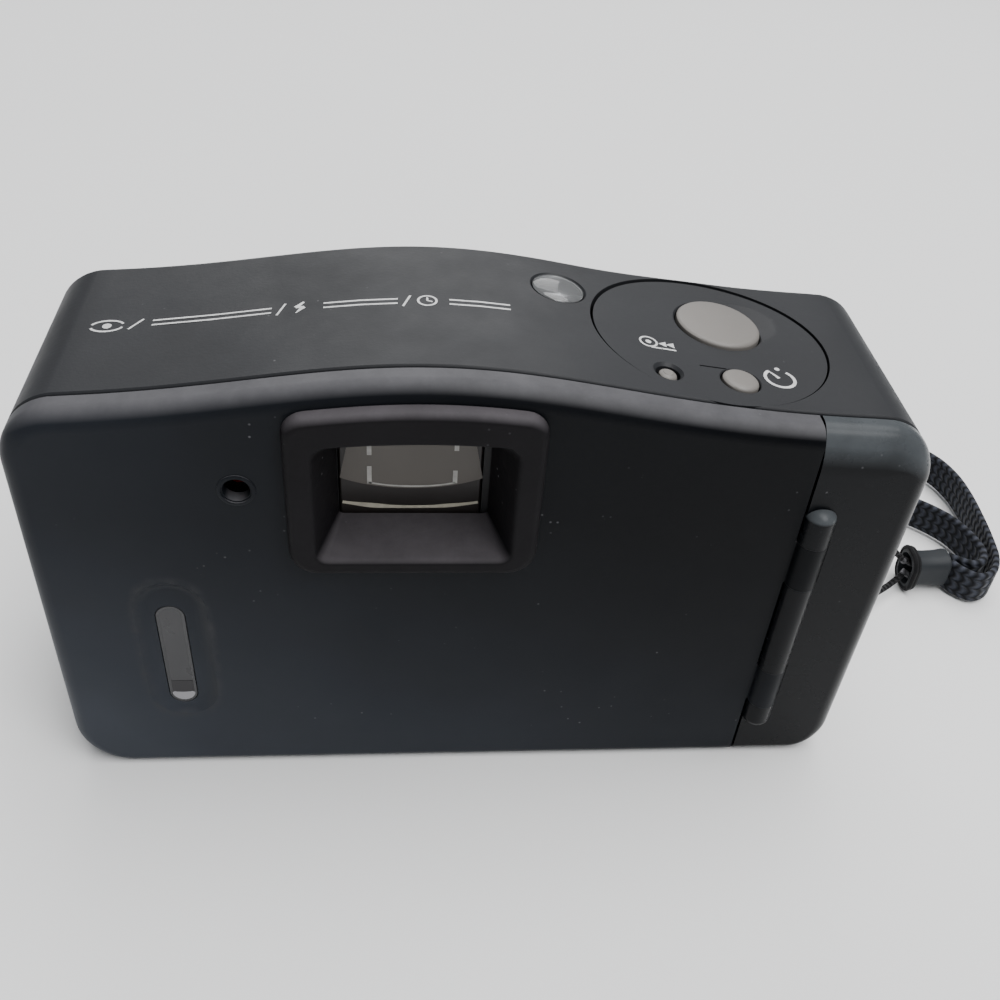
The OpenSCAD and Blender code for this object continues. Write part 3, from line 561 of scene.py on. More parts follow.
DUST = (0.17, 0.17, 0.18)
MATERIALS = {
    "black_moulding": plastic("black_moulding", (0.014, 0.014, 0.015), 0.55, shine=0.25),
    "cover_grey": plastic("cover_grey", (0.0135, 0.0142, 0.0165), 0.5, bump=0.3, dust=0.5, dust_color=DUST,
                          shine=0.3),
    # The door's upward faces are lighter, partly from dust and rubbing and partly as a painted highlight;
    # its back has a painted reflection towards the lower left.
    "door_black": plastic("door_black", (0.0016, 0.0020, 0.0028), 0.4, bump=0.16, dust=0.5, dust_color=DUST,
                          shine=0.08, upward_light_and_dust=(0.085, 0.084, 0.090), rise=(0.5, 1.0),
                          back_reflection=(0.036, 0.041, 0.051)),
    # The end cover's and hinge rib's lighter upward faces are a painted highlight.
    "gloss_black": plastic("gloss_black", (0.0018, 0.0022, 0.0031), 0.26, bump=0.05, dust=0.3,
                           dust_color=DUST, shine=0.12, upward_light_and_dust=(0.058, 0.064, 0.069), rise=(0.12, 0.42)),
    # The eyepiece frame's lighter upward faces are painted light from above, with some dust.
    "eyepiece_black": plastic("eyepiece_black", (0.0062, 0.0056, 0.0066), 0.62, grain=900, bump=0.8,
                              dust=0.9, dust_color=DUST, shine=0.1, upward_light_and_dust=(0.060, 0.055, 0.060),
                              rise=(0.3, 0.95)),
    "cover_black": plastic("cover_black", (0.016, 0.016, 0.018), 0.5, shine=0.3),
    "button_grey": plastic("button_grey", (0.150, 0.140, 0.130), 0.5, bump=0.2, dust=0.2,
                           dust_color=(0.4, 0.4, 0.4)),
    "dark_metal": metal("dark_metal", (0.06, 0.06, 0.062), 0.45),
    "bright_steel": metal("bright_steel", (0.68, 0.68, 0.67), 0.28),
    "motor_steel": metal("motor_steel", (0.58, 0.58, 0.56), 0.36),
    "brass_yellow": metal("brass_yellow", (0.74, 0.56, 0.27), 0.3),
    "gear_white": plastic("gear_white", (0.60, 0.57, 0.49), 0.42, bump=0.1),
    "dial_white": plastic("dial_white", (0.42, 0.42, 0.41), 0.5, bump=0.1),
    "foam_black": plastic("foam_black", (0.012, 0.012, 0.013), 0.95, grain=700, bump=1.0, dust=0.1,
                          shine=0.1),
    "board_green": plastic("board_green", (0.02, 0.11, 0.06), 0.35, grain=500, bump=0.1, coat=0.3),
    "clear_window": clear("clear_window", (0.55, 0.56, 0.57)),
    "lens_glass": clear("lens_glass", (0.5, 0.55, 0.7), 0.02, 0.95),
    "lamp_red": clear("lamp_red", (0.35, 0.02, 0.015), 0.1, 0.5),
    "reflector_silver": metal("reflector_silver", (0.85, 0.85, 0.86), 0.12),
    "capacitor_blue": plastic("capacitor_blue", (0.02, 0.035, 0.13), 0.25, bump=0.08, coat=0.4),
    "cell_jacket": plastic("cell_jacket", (0.07, 0.2, 0.11), 0.22, bump=0.05, coat=0.5),
    "rubber_grey": plastic("rubber_grey", (0.0150, 0.0175, 0.0205), 0.5, grain=1500, bump=0.2, dust=0.5,
                           dust_color=DUST, shine=0.25),
    "cord_black": woven("cord_black", (0.003, 0.003, 0.0035), (0.012, 0.012, 0.014), 900, 500),
    "cord_end": woven("cord_end", (0.03, 0.03, 0.032), (0.15, 0.15, 0.16), 900, 500),
    "braid_black": woven("braid_black", (0.0016, 0.0020, 0.0032), (0.040, 0.044, 0.058), 560, 430),
    "finder_dark": plastic("finder_dark", (0.016, 0.0135, 0.013), 0.35, bump=0.05, dust=0.2, shine=0.3),
    "finder_painted_view": plastic("finder_painted_view", (0.090, 0.080, 0.071), 0.4, bump=0.02, dust=0.15, shine=0.3),
    "bright_mark": printed("bright_mark", (0.38, 0.37, 0.35)),
    "cream_rim": printed("cream_rim", (0.46, 0.43, 0.35)),
    "window_grey": plastic("window_grey", (0.030, 0.030, 0.032), 0.3, bump=0.05, dust=0.3, shine=0.4),
    "window_shade": plastic("window_shade", (0.030, 0.029, 0.031), 0.4, bump=0.05, dust=0.2, shine=0.2),
    "window_glint": plastic("window_glint", (0.26, 0.255, 0.27), 0.35, bump=0.05, dust=0.2),
}
INK = printed("print_ink", (0.62, 0.62, 0.62))


def paint_cad():
    """Give every carried-over CAD node its slot's material."""
    for part in frame["record"]["subparts"]:
        obj = frame["nodes"][part["node"]]
        for place in obj.material_slots:
            place.material = MATERIALS[part["material_slot"]]


paint_cad()
BAND.data.materials.append(MATERIALS["braid_black"])
LOOP.data.materials.append(MATERIALS["cord_black"])
for strap in (BAND, LOOP):
    strap.data.polygons.foreach_set("use_smooth", [True] * len(strap.data.polygons))


# ---------------------------------------------------------------- shells of the body
def fillet(y, depth, side, top, bottom, way, steps=8):
    """Rings of a rounded edge that ends depth past y; way is -1 towards the back and 1 to the front."""
    rings = []
    for k in range(1, steps + 1):
        a = radians(90 * k / steps)
        rings.append(body_ring(y + way * depth * sin(a), *(r * (1 - cos(a)) for r in (side, top, bottom))))
    return rings


def hollow(y0, y1):
    """Solid that empties a shell, one wall in from the outline."""
    return loft("hollow", [body_ring(y, WALL, WALL, WALL) for y in (y0, y1)])


SEAM_GAP = 0.14


def seam_lip(way):
    """Rings of the fine lip beside the seam; way is -1 towards the back and 1 to the front."""
    return [body_ring(SEAM_Y + way * (SEAM_GAP + past), inset, inset, inset)
            for past, inset in ((0, 0.45), (0.1, 0.2), (0.3, 0))]


def cover_block(front):
    """Whole form of a front shell up to its front face, with rounded edges and a fine lip at the seam."""
    rings = seam_lip(1)
    rings += [body_ring(y, 0, 0, 0) for y in (-4, 4, 11)]
    rings += [body_ring(front - FRONT_EDGE, 0, 0, 0)]
    rings += fillet(front - FRONT_EDGE, FRONT_EDGE, 2.6, FRONT_EDGE, 2, 1, 10)
    return loft("cover_block", rings)


def oval(name, stages, at, grow):
    """Upright solid on the control disc's oval; stages are (growth, z) pairs."""
    rings = []
    for more, z in stages:
        half = [h + grow + more for h in DISC_HALF]
        rings.append([(at[0] + half[0] * cos(2 * pi * k / 128), at[1] + half[1] * sin(2 * pi * k / 128), z)
                      for k in range(128)])
    return loft(name, rings)


def round_hole(at, r, lip=0.25, depth=12):
    """Cutter for a hole in the top with a softened rim that follows the slope."""
    z = top_z(at[0])
    return lathe("hole", [(r, z - depth), (r, z - lip), (r + lip, z + 0.02), (r + lip, z + 6)], at,
                 lean=top_slope(at[0]))


def make_top_cover():
    """Top shell, whose front edge stands forward as a brow over the front cover."""
    shell = cut(cover_block(BROW_Y), hollow(SEAM_Y - 1, FRONT_Y - WALL),
                box((-70, -30, -5), (70, 30, SPLIT_Z + 0.1)))
    disc_hole = oval("hole", [(0.1, 52), (0.1, 80)], (DISC[0], DISC[1] + 0.25), 0.3)
    cut(shell, disc_hole, round_hole(COUNTER, COUNTER_R + 0.15, 0.3))
    window = FRONT_Y - 4, BROW_Y + 2
    cut(shell, pocket("hole", (-42, 58.5), (10.2, 5.7), 1.2, [(window[0], 0), (window[1], 0)]),
        pocket("hole", (-9.25, 56.25), (9.95, 5.95), 1.2, [(window[0], 0), (window[1], 0)]),
        lathe("hole", [(2.2, window[0]), (2.2, window[1])], centre_of("light_sensor", (0, 2)), "y"),
        lathe("hole", [(1.6, window[0]), (1.6, window[1])], centre_of("self_timer_lamp", (0, 2)), "y"))
    return dressed(shell, "top_cover_shell", MATERIALS["cover_grey"], "camera", "cover_grey", "top_cover")


def make_front_cover():
    """Front shell with the lens cover's track and the battery door's opening."""
    shell = cut(cover_block(FRONT_Y), hollow(SEAM_Y - 1, FRONT_Y - WALL),
                box((-70, -30, SPLIT_Z), (70, 30, 90)))
    add(shell, box((-21.2, 15.2, 10.8), (36.2, FRONT_Y - WALL + 0.05, 42.8)))
    cut(shell, box((-20, 16.7, 12), (35, 17.9, 41.6)), box((-20, 17.8, 14.4), (35, 20, 39.2)),
        lathe("hole", [(9, 14), (9, 17)], (LENS_X, FILM_Z), "y"),
        box((-63, -8.4, 22.2), (-58, -2.6, 36.4)),
        box((44.8, SEAM_Y - 1, -1), (63, 16.5, 5.3)),
        lathe("hole", [(7.25, -1), (7.25, 3)], (0, 0)))
    for x in (-26, 14):
        for y in (-8, 8):
            cut(shell, lathe("hole", [(2, -1), (2, 1.2), (1, 1.21), (1, 3)], (x, y), steps=40))
    return dressed(shell, "front_cover_shell", MATERIALS["cover_grey"], "camera", "cover_grey",
                   "front_cover")


def rib_piece(z0, z1, round_low, round_high):
    """Stretch of the hinge rib; a free end is rounded off."""
    reach = 1.6
    turns = [radians(15 * k) for k in range(7)]
    profile = []
    if round_low:
        profile += [(RIB_R * sin(a), z0 + reach * (1 - cos(a))) for a in turns[:6]]
    profile += [(RIB_R, z0 + (reach if round_low else 0)), (RIB_R, z1 - (reach if round_high else 0))]
    if round_high:
        profile += [(RIB_R * cos(a), z1 - reach + reach * sin(a)) for a in turns[1:]]
    return lathe("rib", profile, HINGE, steps=48)


def make_end_cover():
    bend_y = -14.4
    rings = seam_lip(-1) + [body_ring(bend_y, 0, 0, 0)]
    rings += fillet(bend_y, 3.6, 3.2, 6.8, 2, -1, 14)
    shell = cut(loft("end", rings), box((-70, -30, -5), (END_EDGE_X, 0, 90)))
    cut(shell, keep(hollow(BACK_Y + WALL, SEAM_Y + 1), box((52, -30, 0), (56.5, 0, 59))),
        box((44, -14.1, -1), (64, 0, 5.3)))
    gap = 0.04
    for low, high in (KNUCKLE_Z[:2], KNUCKLE_Z[2:]):
        cut(shell, lathe("room", [(RIB_R + 0.3, low - gap), (RIB_R + 0.3, high + gap)], HINGE),
            box((END_EDGE_X - 1, BACK_Y - 3, low - gap), (HINGE[0], HINGE[1] + 2.3, high + gap)))
    add(shell, rib_piece(RIB_Z[0], KNUCKLE_Z[0] - gap, True, False),
        rib_piece(KNUCKLE_Z[1] + gap, KNUCKLE_Z[2] - gap, False, False),
        rib_piece(KNUCKLE_Z[3] + gap, RIB_Z[1], False, True))
    cut(shell, lathe("bore", [(0.8, RIB_Z[0] + PIN_COVER), (0.8, RIB_Z[1] - PIN_COVER)], HINGE, steps=24))
    return dressed(shell, "end_cover_shell", MATERIALS["gloss_black"], "camera", "gloss_black", "end_cover")


def stadium(centre, half_w, half_h, y, steps=20):
    points = []
    for side, start in ((1, 0), (-1, 180)):
        for k in range(steps + 1):
            a = radians(start + 180 * k / steps)
            middle = centre[1] + side * (half_h - half_w)
            points.append((centre[0] + half_w * cos(a), y, middle + half_w * sin(a)))
    return points


def make_back_door():
    edge = 2.7
    rings = seam_lip(-1) + [body_ring(BACK_Y + edge, 0, 0, 0)]
    rings += fillet(BACK_Y + edge, edge, edge, edge, 2, -1, 10)
    shell = cut(loft("door", rings), box((DOOR_EDGE_X, -30, -5), (70, 0, 90)))
    cut(shell, keep(hollow(BACK_Y + WALL, SEAM_Y + 1), box((-70, -30, 0), (DOOR_EDGE_X + 1, 0, 90))))
    gap = 0.04
    for low, high in (KNUCKLE_Z[:2], KNUCKLE_Z[2:]):
        add(shell, lathe("knuckle", [(RIB_R, low + gap), (RIB_R, high - gap)], HINGE, steps=48),
            box((DOOR_EDGE_X - 1, BACK_Y, low + gap), (HINGE[0], BACK_Y + WALL, high - gap)))
        cut(shell, lathe("bore", [(0.85, low - 1), (0.85, high + 1)], HINGE, steps=24))
    add(shell, box((-58.9, BACK_Y + WALL - 0.1, 38.2), (-58, -11.4, 41.4)))
    add(shell, lathe("rim", [(2.5, -17.5), (2.5, -18.12), (2.3, -18.22), (2.0, -18.22), (2.0, -17.5)],
                     LAMP, "y", steps=48))
    dish = [(-18.6, 1.03), (-18.0, 1.0), (-17.9, 0.97), (-17.6, 0.88), (-17.3, 0.78), (-17.15, 0.70),
            (-17.1, 0.6)]
    cut(shell, loft("dish", [stadium(DISH, 5 * s, 13.9 - 5 * (1 - s), y) for y, s in dish]),
        loft("slot", [stadium(FILM_SLOT, 2.15, 10.4, y) for y in (-19, -14)]),
        lathe("lamp_hole", [(1.8, -19), (1.8, -14)], LAMP, "y", steps=40),
        pocket("eye_hole", (EYE_X, 56.5), (14.4, 11.4), 2, [(-19, 0), (-14, 0)]))
    return dressed(shell, "back_door_shell", MATERIALS["door_black"], "door", "door_black", "back_door")


make_top_cover()
make_front_cover()
make_end_cover()
make_back_door()


# ---------------------------------------------------------------- eyepiece and finder
def framed(centre, half, radii, y, follow=1.0, steps=6):
    """Ring with its own corner radius above and below, whose upper edge follows the hump."""
    points = []
    for cx, cz, start in ((1, 1, 0), (-1, 1, 90), (-1, -1, 180), (1, -1, 270)):
        r = radii[0] if cz > 0 else radii[1]
        for k in range(steps + 1):
            a = radians(start + 90 * k / steps)
            points.append((cx * (half[0] - r) + r * cos(a), cz * (half[1] - r) + r * sin(a)))
    dense = []
    for p, q in zip(points, points[1:] + points[:1]):
        parts = 16 if abs(q[0] - p[0]) > 4 else 1
        dense += [(p[0] + (q[0] - p[0]) * k / parts, p[1] + (q[1] - p[1]) * k / parts) for k in range(parts)]
    ring = []
    for x, z in dense:
        fall = (top_z(centre[0] + x) - top_z(centre[0])) * follow if z > 0 else 0
        ring.append((centre[0] + x, y, centre[1] + z + fall * max(z, 0) / half[1]))
    return ring


def make_eyepiece():
    """Soft-edged frame whose top follows the hump, with a four-sided funnel down to the rear lens."""
    centre = (EYE_X, 57.3)
    edge = [(-17.9, -0.1), (-18.6, 0), (-19.4, -0.1), (-19.9, -0.3), (-20.25, -0.7), (-20.4, -1.2)]
    shell = loft("frame", [framed(centre, (16.8 + g, 13.6 + g), (2.8 + g / 2, 3.8 + g / 2), y)
                           for y, g in edge])
    add(shell, pocket("sleeve", (EYE_X, 56.5), (14.3, 11.3), 2, [(-18, 0), (-12.4, 0)]))
    rings = []
    for y, grow, share in ((-21.5, 1.3, 0), (-20.5, 0.9, 0), (-20.2, 0.35, 0), (-19.9, 0.1, 0),
                           (-19.5, 0, 0.02), (-12.3, 0, 1), (-11, 0, 1)):
        half = (12.95 - 2.65 * share + grow, 9.7 - 3.2 * share + grow)
        corner = (2 - 1.3 * share + grow, 1.5 - 0.8 * share + grow)
        rings.append(framed((EYE_X, 56.2 - 1.3 * share), half, corner, y, follow=0.8 * (1 - share)))
    cut(shell, loft("funnel", rings))
    return dressed(shell, "eyepiece_frame", MATERIALS["eyepiece_black"], "door", "eyepiece_black",
                   "eyepiece_surround", angle=40)


make_eyepiece()


# ---------------------------------------------------------------- controls on the top
def surface_disc():
    """The control disc: a plug of the body's own top surface."""
    edge_y = BROW_Y - FRONT_EDGE
    rings = [body_ring(y, DISC_SINK, DISC_SINK, DISC_SINK) for y in (BACK_Y, -4, 4, 11, edge_y)]
    rings += [[(x, y, z - DISC_SINK) for x, y, z in ring]
              for ring in fillet(edge_y, FRONT_EDGE, 2.6, FRONT_EDGE, 2, 1, 10)]
    disc = keep(loft("disc", rings), oval("plug", [(0, 60), (0, 80)], DISC, 0))
    cut(disc, loft("under", [body_ring(y, 1.6, 1.6, 1.6) for y in (SEAM_Y - 2, BROW_Y + 2)]))
    dent_r, dent_at = 24, (39.4, 9.6)
    dent_z = top_z(dent_at[0]) + dent_r - 0.75
    turns = [radians(6 * k) for k in range(6)]
    dent = lathe("dent", [(dent_r * sin(a), dent_z - dent_r * cos(a)) for a in turns], dent_at,
                 lean=top_slope(dent_at[0]), steps=96)
    cut(disc, dent, round_hole(SHUTTER, 6.45, 0.3), round_hole(REWIND, 1.75, 0.55),
        round_hole(TIMER, 2.85, 0.25))
    z = top_z(31.9)
    cut(disc, box((30.1, -4.3, z - 0.5), (34, -4.02, z + 2)))
    return dressed(disc, "control_disc_plate", MATERIALS["cover_grey"], "camera", "cover_grey",
                   "control_disc")


def button_cap(name, at, r, proud, body, node, flange_z, stem_z):
    """Button with a softened rim and a faintly crowned top that lies along the slope."""
    z = top_z(at[0]) + proud
    profile = [(min(r - 0.1, 1.5), stem_z), (min(r - 0.1, 1.5), flange_z - 0.8), (r + 0.5, flange_z - 0.8),
               (r + 0.5, flange_z), (r, flange_z + 0.05), (r, z - 0.55), (r - 0.08, z - 0.3),
               (r - 0.3, z - 0.1), (r - 0.6, z), (r * 0.5, z + 0.06), (0, z + 0.08)]
    cap = lathe(name, profile, at, lean=top_slope(at[0]))
    return dressed(cap, name, MATERIALS["button_grey"], body, "button_grey", node)


surface_disc()
button_cap("shutter_button_cap", SHUTTER, 6.25, 0.5, "shutter_release", "shutter_button", 64.8, 62.7)
button_cap("rewind_button_pin", REWIND, 1.3, -0.35, "rewind_release", "rewind_button", 65.1, 62.8)
button_cap("self_timer_button_cap", TIMER, 2.6, 0.3, "timer_release", "self_timer_button", 64.9, 62.3)


def make_counter_window():
    z = top_z(COUNTER[0])
    profile = [(COUNTER_R + 0.7, 67.9), (COUNTER_R + 0.7, 68.5), (COUNTER_R, 68.55), (COUNTER_R, z - 0.15),
               (COUNTER_R - 0.2, z + 0.05), (COUNTER_R - 1, z + 0.32), (COUNTER_R - 2.2, z + 0.55),
               (0, z + 0.65)]
    lens = lathe("window", profile, COUNTER, lean=top_slope(COUNTER[0]))
    return dressed(lens, "counter_window_lens", MATERIALS["clear_window"], "camera", "clear_window",
                   "counter_window")


make_counter_window()


# ---------------------------------------------------------------- finder glass and its marks
def band(points, widths):
    """Flat ribbon along points in a plane; widths gives one full width per point."""
    pts = [Vector(p) for p in points]
    left, right = [], []
    for i, p in enumerate(pts):
        along = (pts[min(i + 1, len(pts) - 1)] - pts[max(i - 1, 0)]).normalized()
        side = Vector((-along.y, along.x)) * widths[i] / 2
        left.append(p + side)
        right.append(p - side)
    return left, right


def ribbon(name, points, widths, place):
    """Thin raised ribbon; place turns a flat point and a height into millimetres."""
    left, right = band(points, widths)
    n = len(left)
    verts = [place(p, h) for h in (0, 1) for side in (left, right) for p in side]
    faces = []
    for i in range(n - 1):
        a, b, c, d = i, i + 1, n + i, n + i + 1
        faces += [(2 * n + a, 2 * n + b, 2 * n + d, 2 * n + c), (a, c, d, b),
                  (a, b, 2 * n + b, 2 * n + a), (c, 2 * n + c, 2 * n + d, d)]
    faces += [(0, 2 * n, 3 * n, n), (n - 1, 2 * n - 1, 4 * n - 1, 3 * n - 1)]
    obj = new_mesh(name, verts, faces)
    outward(obj)
    return obj


def joined(name, objs):
    """One object from several, each kept as its own island."""
    work = bmesh.new()
    for obj in objs:
        work.from_mesh(obj.data)
        drop(obj)
    mesh = bpy.data.meshes.new(name)
    work.to_mesh(mesh)
    work.free()
    obj = bpy.data.objects.new(name, mesh)
    bpy.context.collection.objects.link(obj)
    return obj


GLASS_Y = -11.95


def on_glass(p, height):
    return p.x, GLASS_Y - 0.02 - 0.04 * height, p.y


def curve_points(x0, x1, z_side, z_mid, steps=24):
    """Shallow curve that is lowest in the middle."""
    mid, half = (x0 + x1) / 2, (x1 - x0) / 2
    points = []
    for k in range(steps + 1):
        x = x0 + (x1 - x0) * k / steps
        points.append((x, z_mid + (z_side - z_mid) * abs((x - mid) / half) ** 2.2))
    return points


def make_finder_view():
    """Rear finder lens: a dark pane, painted shade of the finder's inside, that shows the bright frame, its
    marks and the lens rim below it; a lighter band on it is painted light seen through the finder.
    """
    # Painted shade: the pane is dark where the inside of the finder lies in shade.
    pane = pocket("pane", PANE, (9.65, 6.5), 0.6, [(-10.4, 0), (GLASS_Y + 0.15, 0), (GLASS_Y, -0.2)])
    dressed(pane, "finder_rear_pane", MATERIALS["finder_dark"], "camera", "clear_window", "finder_rear_lens")
    # Painted light: a lighter band for the view seen through the finder.
    lower = curve_points(-18.4, -0.1, 54.3, 52.6)
    upper = [(x, 60.45) for x, z in lower]
    middle = [(x, (z + 60.45) / 2) for x, z in lower]
    view = ribbon("finder_view", middle, [60.45 - z for x, z in lower], on_glass)
    dressed(view, "finder_view", MATERIALS["finder_painted_view"], "camera", "clear_window")
    lift = lambda p, h: (p.x, GLASS_Y - 0.07 - 0.04 * h, p.y)
    marks = [ribbon("mark", [(x, z0), (x, z1)], [0.62, 0.62], lift)
             for x, z0, z1 in ((-14.95, 58.3, 60.3), (-14.97, 53.4, 56.4), (-3.25, 59.1, 60.3),
                               (-3.3, 53.5, 55.7))]
    marks.append(ribbon("mark", curve_points(-15.1, -3.2, 53.6, 52.95), [0.26] * 25, lift))
    dressed(joined("marks", marks), "finder_bright_frame", MATERIALS["bright_mark"], "camera",
            "clear_window")
    line = curve_points(-18.7, 0.05, 50.05, 49.2)
    widths = [0.45 + 0.35 * exp(-((x + 14.6) / 2.2) ** 2) + 0.2 * exp(-((x + 4) / 1.6) ** 2)
              for x, z in line]
    dressed(ribbon("rim", line, widths, on_glass), "finder_lens_rim", MATERIALS["cream_rim"], "camera",
            "clear_window")


make_finder_view()


# ---------------------------------------------------------------- film window
def make_film_window():
    """Grey pane with a bevelled rim, painted shade at its foot and a painted highlight along the edge where
    the moulding turns in.
    """
    half_h = 10.3
    rings = [stadium(FILM_SLOT, 2.05 - g, half_h - g, y)
             for y, g in ((-16.2, 0), (-17.0, 0), (-17.12, 0.06), (-17.05, 0.42), (-16.98, 0.5))]
    pane = loft("pane", rings)
    low, high = ([in_mm(v) for v in corner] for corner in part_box("film_window"))
    add(pane, box((low[0], -16.25, low[2]), high))
    dressed(pane, "film_window_pane", MATERIALS["window_grey"], "door", "clear_window", "film_window")
    # Painted shade at the pane's foot.
    flat = lambda p, h: (p.x, -17.0 - 0.03 * h, p.y)
    foot = ribbon("foot", [(FILM_SLOT[0], 16.3), (FILM_SLOT[0], 18.9)], [3.1, 3.1], flat)
    dressed(foot, "film_window_shade", MATERIALS["window_shade"], "door", "clear_window")
    # Painted highlight along the edge where the moulding turns in.
    line, widths = [], []
    for k in range(17):
        t = -1.6 + 3.2 * k / 16
        top = 16.35 + 0.35 * abs(t / 1.6) ** 2
        bottom = 16.25 - sqrt(max(1.62 ** 2 - t * t, 0))
        line.append((FILM_SLOT[0] + t, (top + bottom) / 2))
        widths.append(top - bottom)
    glint = ribbon("glint", line, widths, lambda p, h: (p.x, -17.02 - 0.04 * h, p.y))
    dressed(glint, "film_window_glint", MATERIALS["window_glint"], "door", "clear_window")


make_film_window()


# ---------------------------------------------------------------- printed signs
def on_top(p, height):
    off = ((p.x - DISC[0]) / DISC_HALF[0]) ** 2 + ((p.y - DISC[1]) / DISC_HALF[1]) ** 2
    sunk = DISC_SINK if off < 1 else 0
    return p.x, p.y, top_z(p.x) - sunk + 0.01 + 0.03 * height


def ring_line(centre, r, start, end, steps=28, squash=1.0):
    points = []
    for k in range(steps + 1):
        a = radians(start + (end - start) * k / steps)
        points.append((centre[0] + r * cos(a), centre[1] + r * squash * sin(a)))
    return points


def sign(name, lines):
    """Printed sign from (points, width) or (points, list of widths) strokes."""
    strokes = []
    for points, width in lines:
        widths = width if isinstance(width, list) else [width] * len(points)
        strokes.append(ribbon("stroke", points, widths, on_top))
    return dressed(joined(name, strokes), name, INK, "camera", "cover_grey")


def disc_dot(centre, r):
    """Filled dot drawn as a very short fat stroke with rounded widths."""
    points, widths = [], []
    for k in range(13):
        t = -1 + 2 * k / 12
        points.append((centre[0] + r * t, centre[1]))
        widths.append(2 * r * sqrt(max(1 - t * t, 0.02)))
    return points, widths


def triangle(tip, back, height):
    return [(tip[0], tip[1]), (back, tip[1])], [0.05, height]


def make_signs():
    film = (23.5, 0.0)
    sign("sign_rewind", [
        (ring_line(film, 1.2, 0, 360), 0.3), disc_dot(film, 0.42),
        ([(film[0] + 0.2, film[1] - 1.35), (film[0] + 1.7, film[1] - 1.35)], 0.32),
        triangle((24.95, -0.1), 26.05, 1.3), triangle((26.1, -0.1), 27.2, 1.3),
        ([(25.3, -1.3), (27.3, -1.3)], 0.32)])
    clock = (41.5, -5.2)
    sign("sign_self_timer", [
        (ring_line(clock, 2.1, -236, 52, 40), 0.48), disc_dot((41.7, -2.8), 0.38),
        ([(41.4, -5.1), (40.3, -3.5)], [0.55, 0.2])])
    eye = (-50.2, 2.6)
    bolt = (-24.4, 2.85)
    dial = (-7.2, 2.9)
    rows = [
        (ring_line(eye, 2.2, 18, 162, 16, 0.62), 0.34), (ring_line(eye, 2.2, 198, 342, 16, 0.62), 0.34),
        disc_dot(eye, 0.62), ([(-47.2, 1.5), (-45.5, 3.9)], 0.3),
        ([(bolt[0] + 0.5, bolt[1] + 1.35), (bolt[0] - 0.5, bolt[1] + 0.05)], [0.3, 0.75]),
        ([(bolt[0] - 0.55, bolt[1] + 0.02), (bolt[0] + 0.6, bolt[1] + 0.08)], 0.36),
        ([(bolt[0] + 0.5, bolt[1] + 0.05), (bolt[0] - 0.45, bolt[1] - 1.4)], [0.75, 0.12]),
        (ring_line(dial, 1.25, 0, 360), 0.32), ([(dial[0], dial[1]), (dial[0], dial[1] + 0.85)], 0.28),
        ([(dial[0], dial[1]), (dial[0] + 0.7, dial[1] - 0.25)], 0.26)]
    for x0, x1 in ((-44.2, -28.2), (-21.2, -11.2), (-4.2, 4.2)):
        for level in (2.2, 3.35):
            rows.append(([(x0, level), ((x0 + x1) / 2, level), (x1, level)], 0.34))
    for x in (-26.9, -10):
        rows.append(([(x - 0.5, 1.4), (x + 0.5, 4.2)], 0.3))
    sign("sign_row", rows)


make_signs()


# ---------------------------------------------------------------- sleeve of the strap
SLEEVE_A, SLEEVE_B = Vector((89, 22, 4.6)), Vector((96.9, 22.2, 4.6))


def sleeve_ring(t, half, steps=6):
    run = (SLEEVE_B - SLEEVE_A).normalized()
    across = Vector((run.y, -run.x, 0)).normalized()
    centre = SLEEVE_A.lerp(SLEEVE_B, t)
    section = rounded_section(half[0], half[1], min(half) * 0.8, steps)
    return [tuple(centre + across * a + Vector((0, 0, b))) for a, b in section]


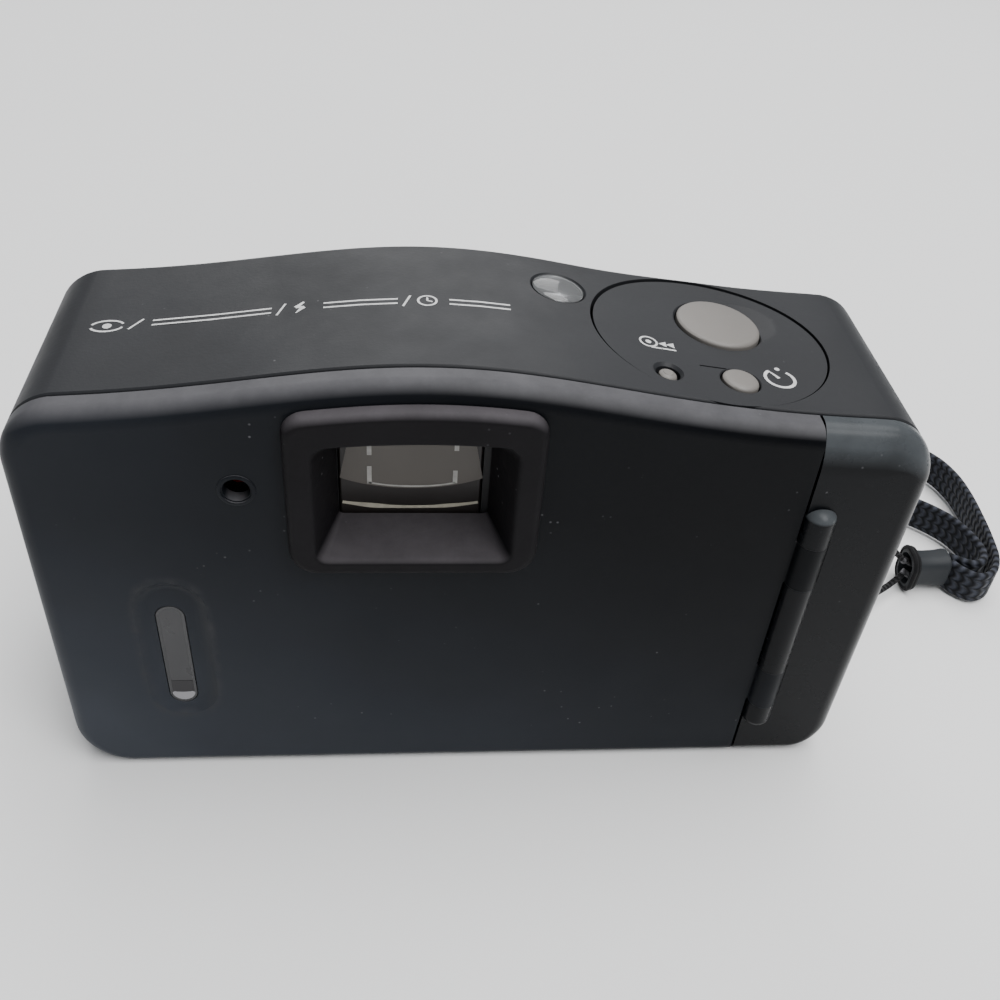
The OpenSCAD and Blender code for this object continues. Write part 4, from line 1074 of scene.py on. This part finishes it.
def make_sleeve():
    stages = [(-0.02, 2.75, 3.55), (0.0, 2.95, 3.8), (0.06, 2.95, 3.8), (0.16, 2.75, 3.55), (0.4, 2.55, 3.4),
              (0.7, 2.6, 3.5), (0.9, 2.75, 3.75), (0.97, 2.7, 3.7), (1.0, 2.45, 3.4)]
    sleeve = loft("sleeve", [sleeve_ring(t, (a, b)) for t, a, b in stages])
    cut(sleeve, loft("mouth", [sleeve_ring(t, (a, b)) for t, a, b in ((-0.1, 2.5, 3.3), (0.02, 2.35, 3.15),
                                                                      (0.42, 1.9, 2.7))]))
    dressed(sleeve, "strap_sleeve", MATERIALS["rubber_grey"], "camera", "rubber_grey", "strap_ferrule")
    ends = []
    for dz, dy, turn in ((1.1, 0.2, 1), (-0.8, -0.5, -1)):
        line = [SLEEVE_A.lerp(SLEEVE_B, -0.12 + 0.09 * k)
                + Vector((0, dy + 0.7 * turn * sin(k * 0.8), dz + 0.6 * cos(k * 0.9)))
                for k in range(6)]
        ends.append(swept("end", line, rounded_section(0.62, 0.62, 0.62), MM))
    dressed(joined("ends", ends), "strap_cord_ends", MATERIALS["cord_end"], "camera", "cord_black")
    turns = []
    for t, grow in ((0.03, 0.45), (0.11, 0.3)):
        ring = [Vector(p) for p in sleeve_ring(t, (2.75 + grow, 3.6 + grow), 8)]
        turns.append(ring_tube(ring, 0.5))
    dressed(joined("turns", turns), "strap_cord_turns", MATERIALS["cord_black"], "camera", "cord_black")


def ring_tube(ring, r, sides=8):
    """Closed round tube along a closed ring."""
    n = len(ring)
    middle = sum(ring, Vector()) / n
    axis = (ring[n // 4] - middle).cross(ring[0] - middle).normalized()
    verts = []
    for p in ring:
        out = (p - middle).normalized()
        for k in range(sides):
            a = 2 * pi * k / sides
            verts.append(p + out * r * cos(a) + axis * r * sin(a))
    faces = [(i * sides + k, i * sides + (k + 1) % sides, ((i + 1) % n) * sides + (k + 1) % sides,
              ((i + 1) % n) * sides + k) for i in range(n) for k in range(sides)]
    obj = new_mesh("ring", verts, faces)
    outward(obj)
    return obj


make_sleeve()


# ---------------------------------------------------------------- floor and light
def make_floor():
    floor = new_mesh("floor", [(-3000, -3000, 0), (3000, -3000, 0), (3000, 3000, 0), (-3000, 3000, 0)],
                     [(0, 1, 2, 3)])
    n = Nodes("floor_paper")
    n.link(n.mix(n.ramp(n.noise(3, 2), 0.3, 0.7), (0.80, 0.80, 0.80), (0.83, 0.83, 0.83)),
           n.shader.inputs["Base Color"])
    n.set(Roughness=0.9, Specular_IOR_Level=0.1)
    floor.data.materials.append(n.material)


def softbox(name, place, size, power):
    """Square area light in metres, aimed at the camera body's middle."""
    data = bpy.data.lights.new(name, "AREA")
    data.size = size
    data.energy = power
    light = bpy.data.objects.new(name, data)
    light.location = place
    light.rotation_euler = (Vector((0, 0, 0.04)) - Vector(place)).to_track_quat("-Z", "Y").to_euler()
    bpy.context.collection.objects.link(light)


def make_world(strength):
    world = bpy.data.worlds.new("studio")
    world.use_nodes = True
    back = world.node_tree.nodes["Background"]
    back.inputs["Color"].default_value = (0.94, 0.97, 1, 1)
    back.inputs["Strength"].default_value = strength
    bpy.context.scene.world = world


make_floor()
make_world(0.32)
softbox("key", (0.36, -0.52, 0.98), 0.55, 9)
softbox("overhead", (0.3, 0.15, 1.35), 1.1, 22)
softbox("far_side", (0.0, 1.3, 0.9), 1.0, 8)
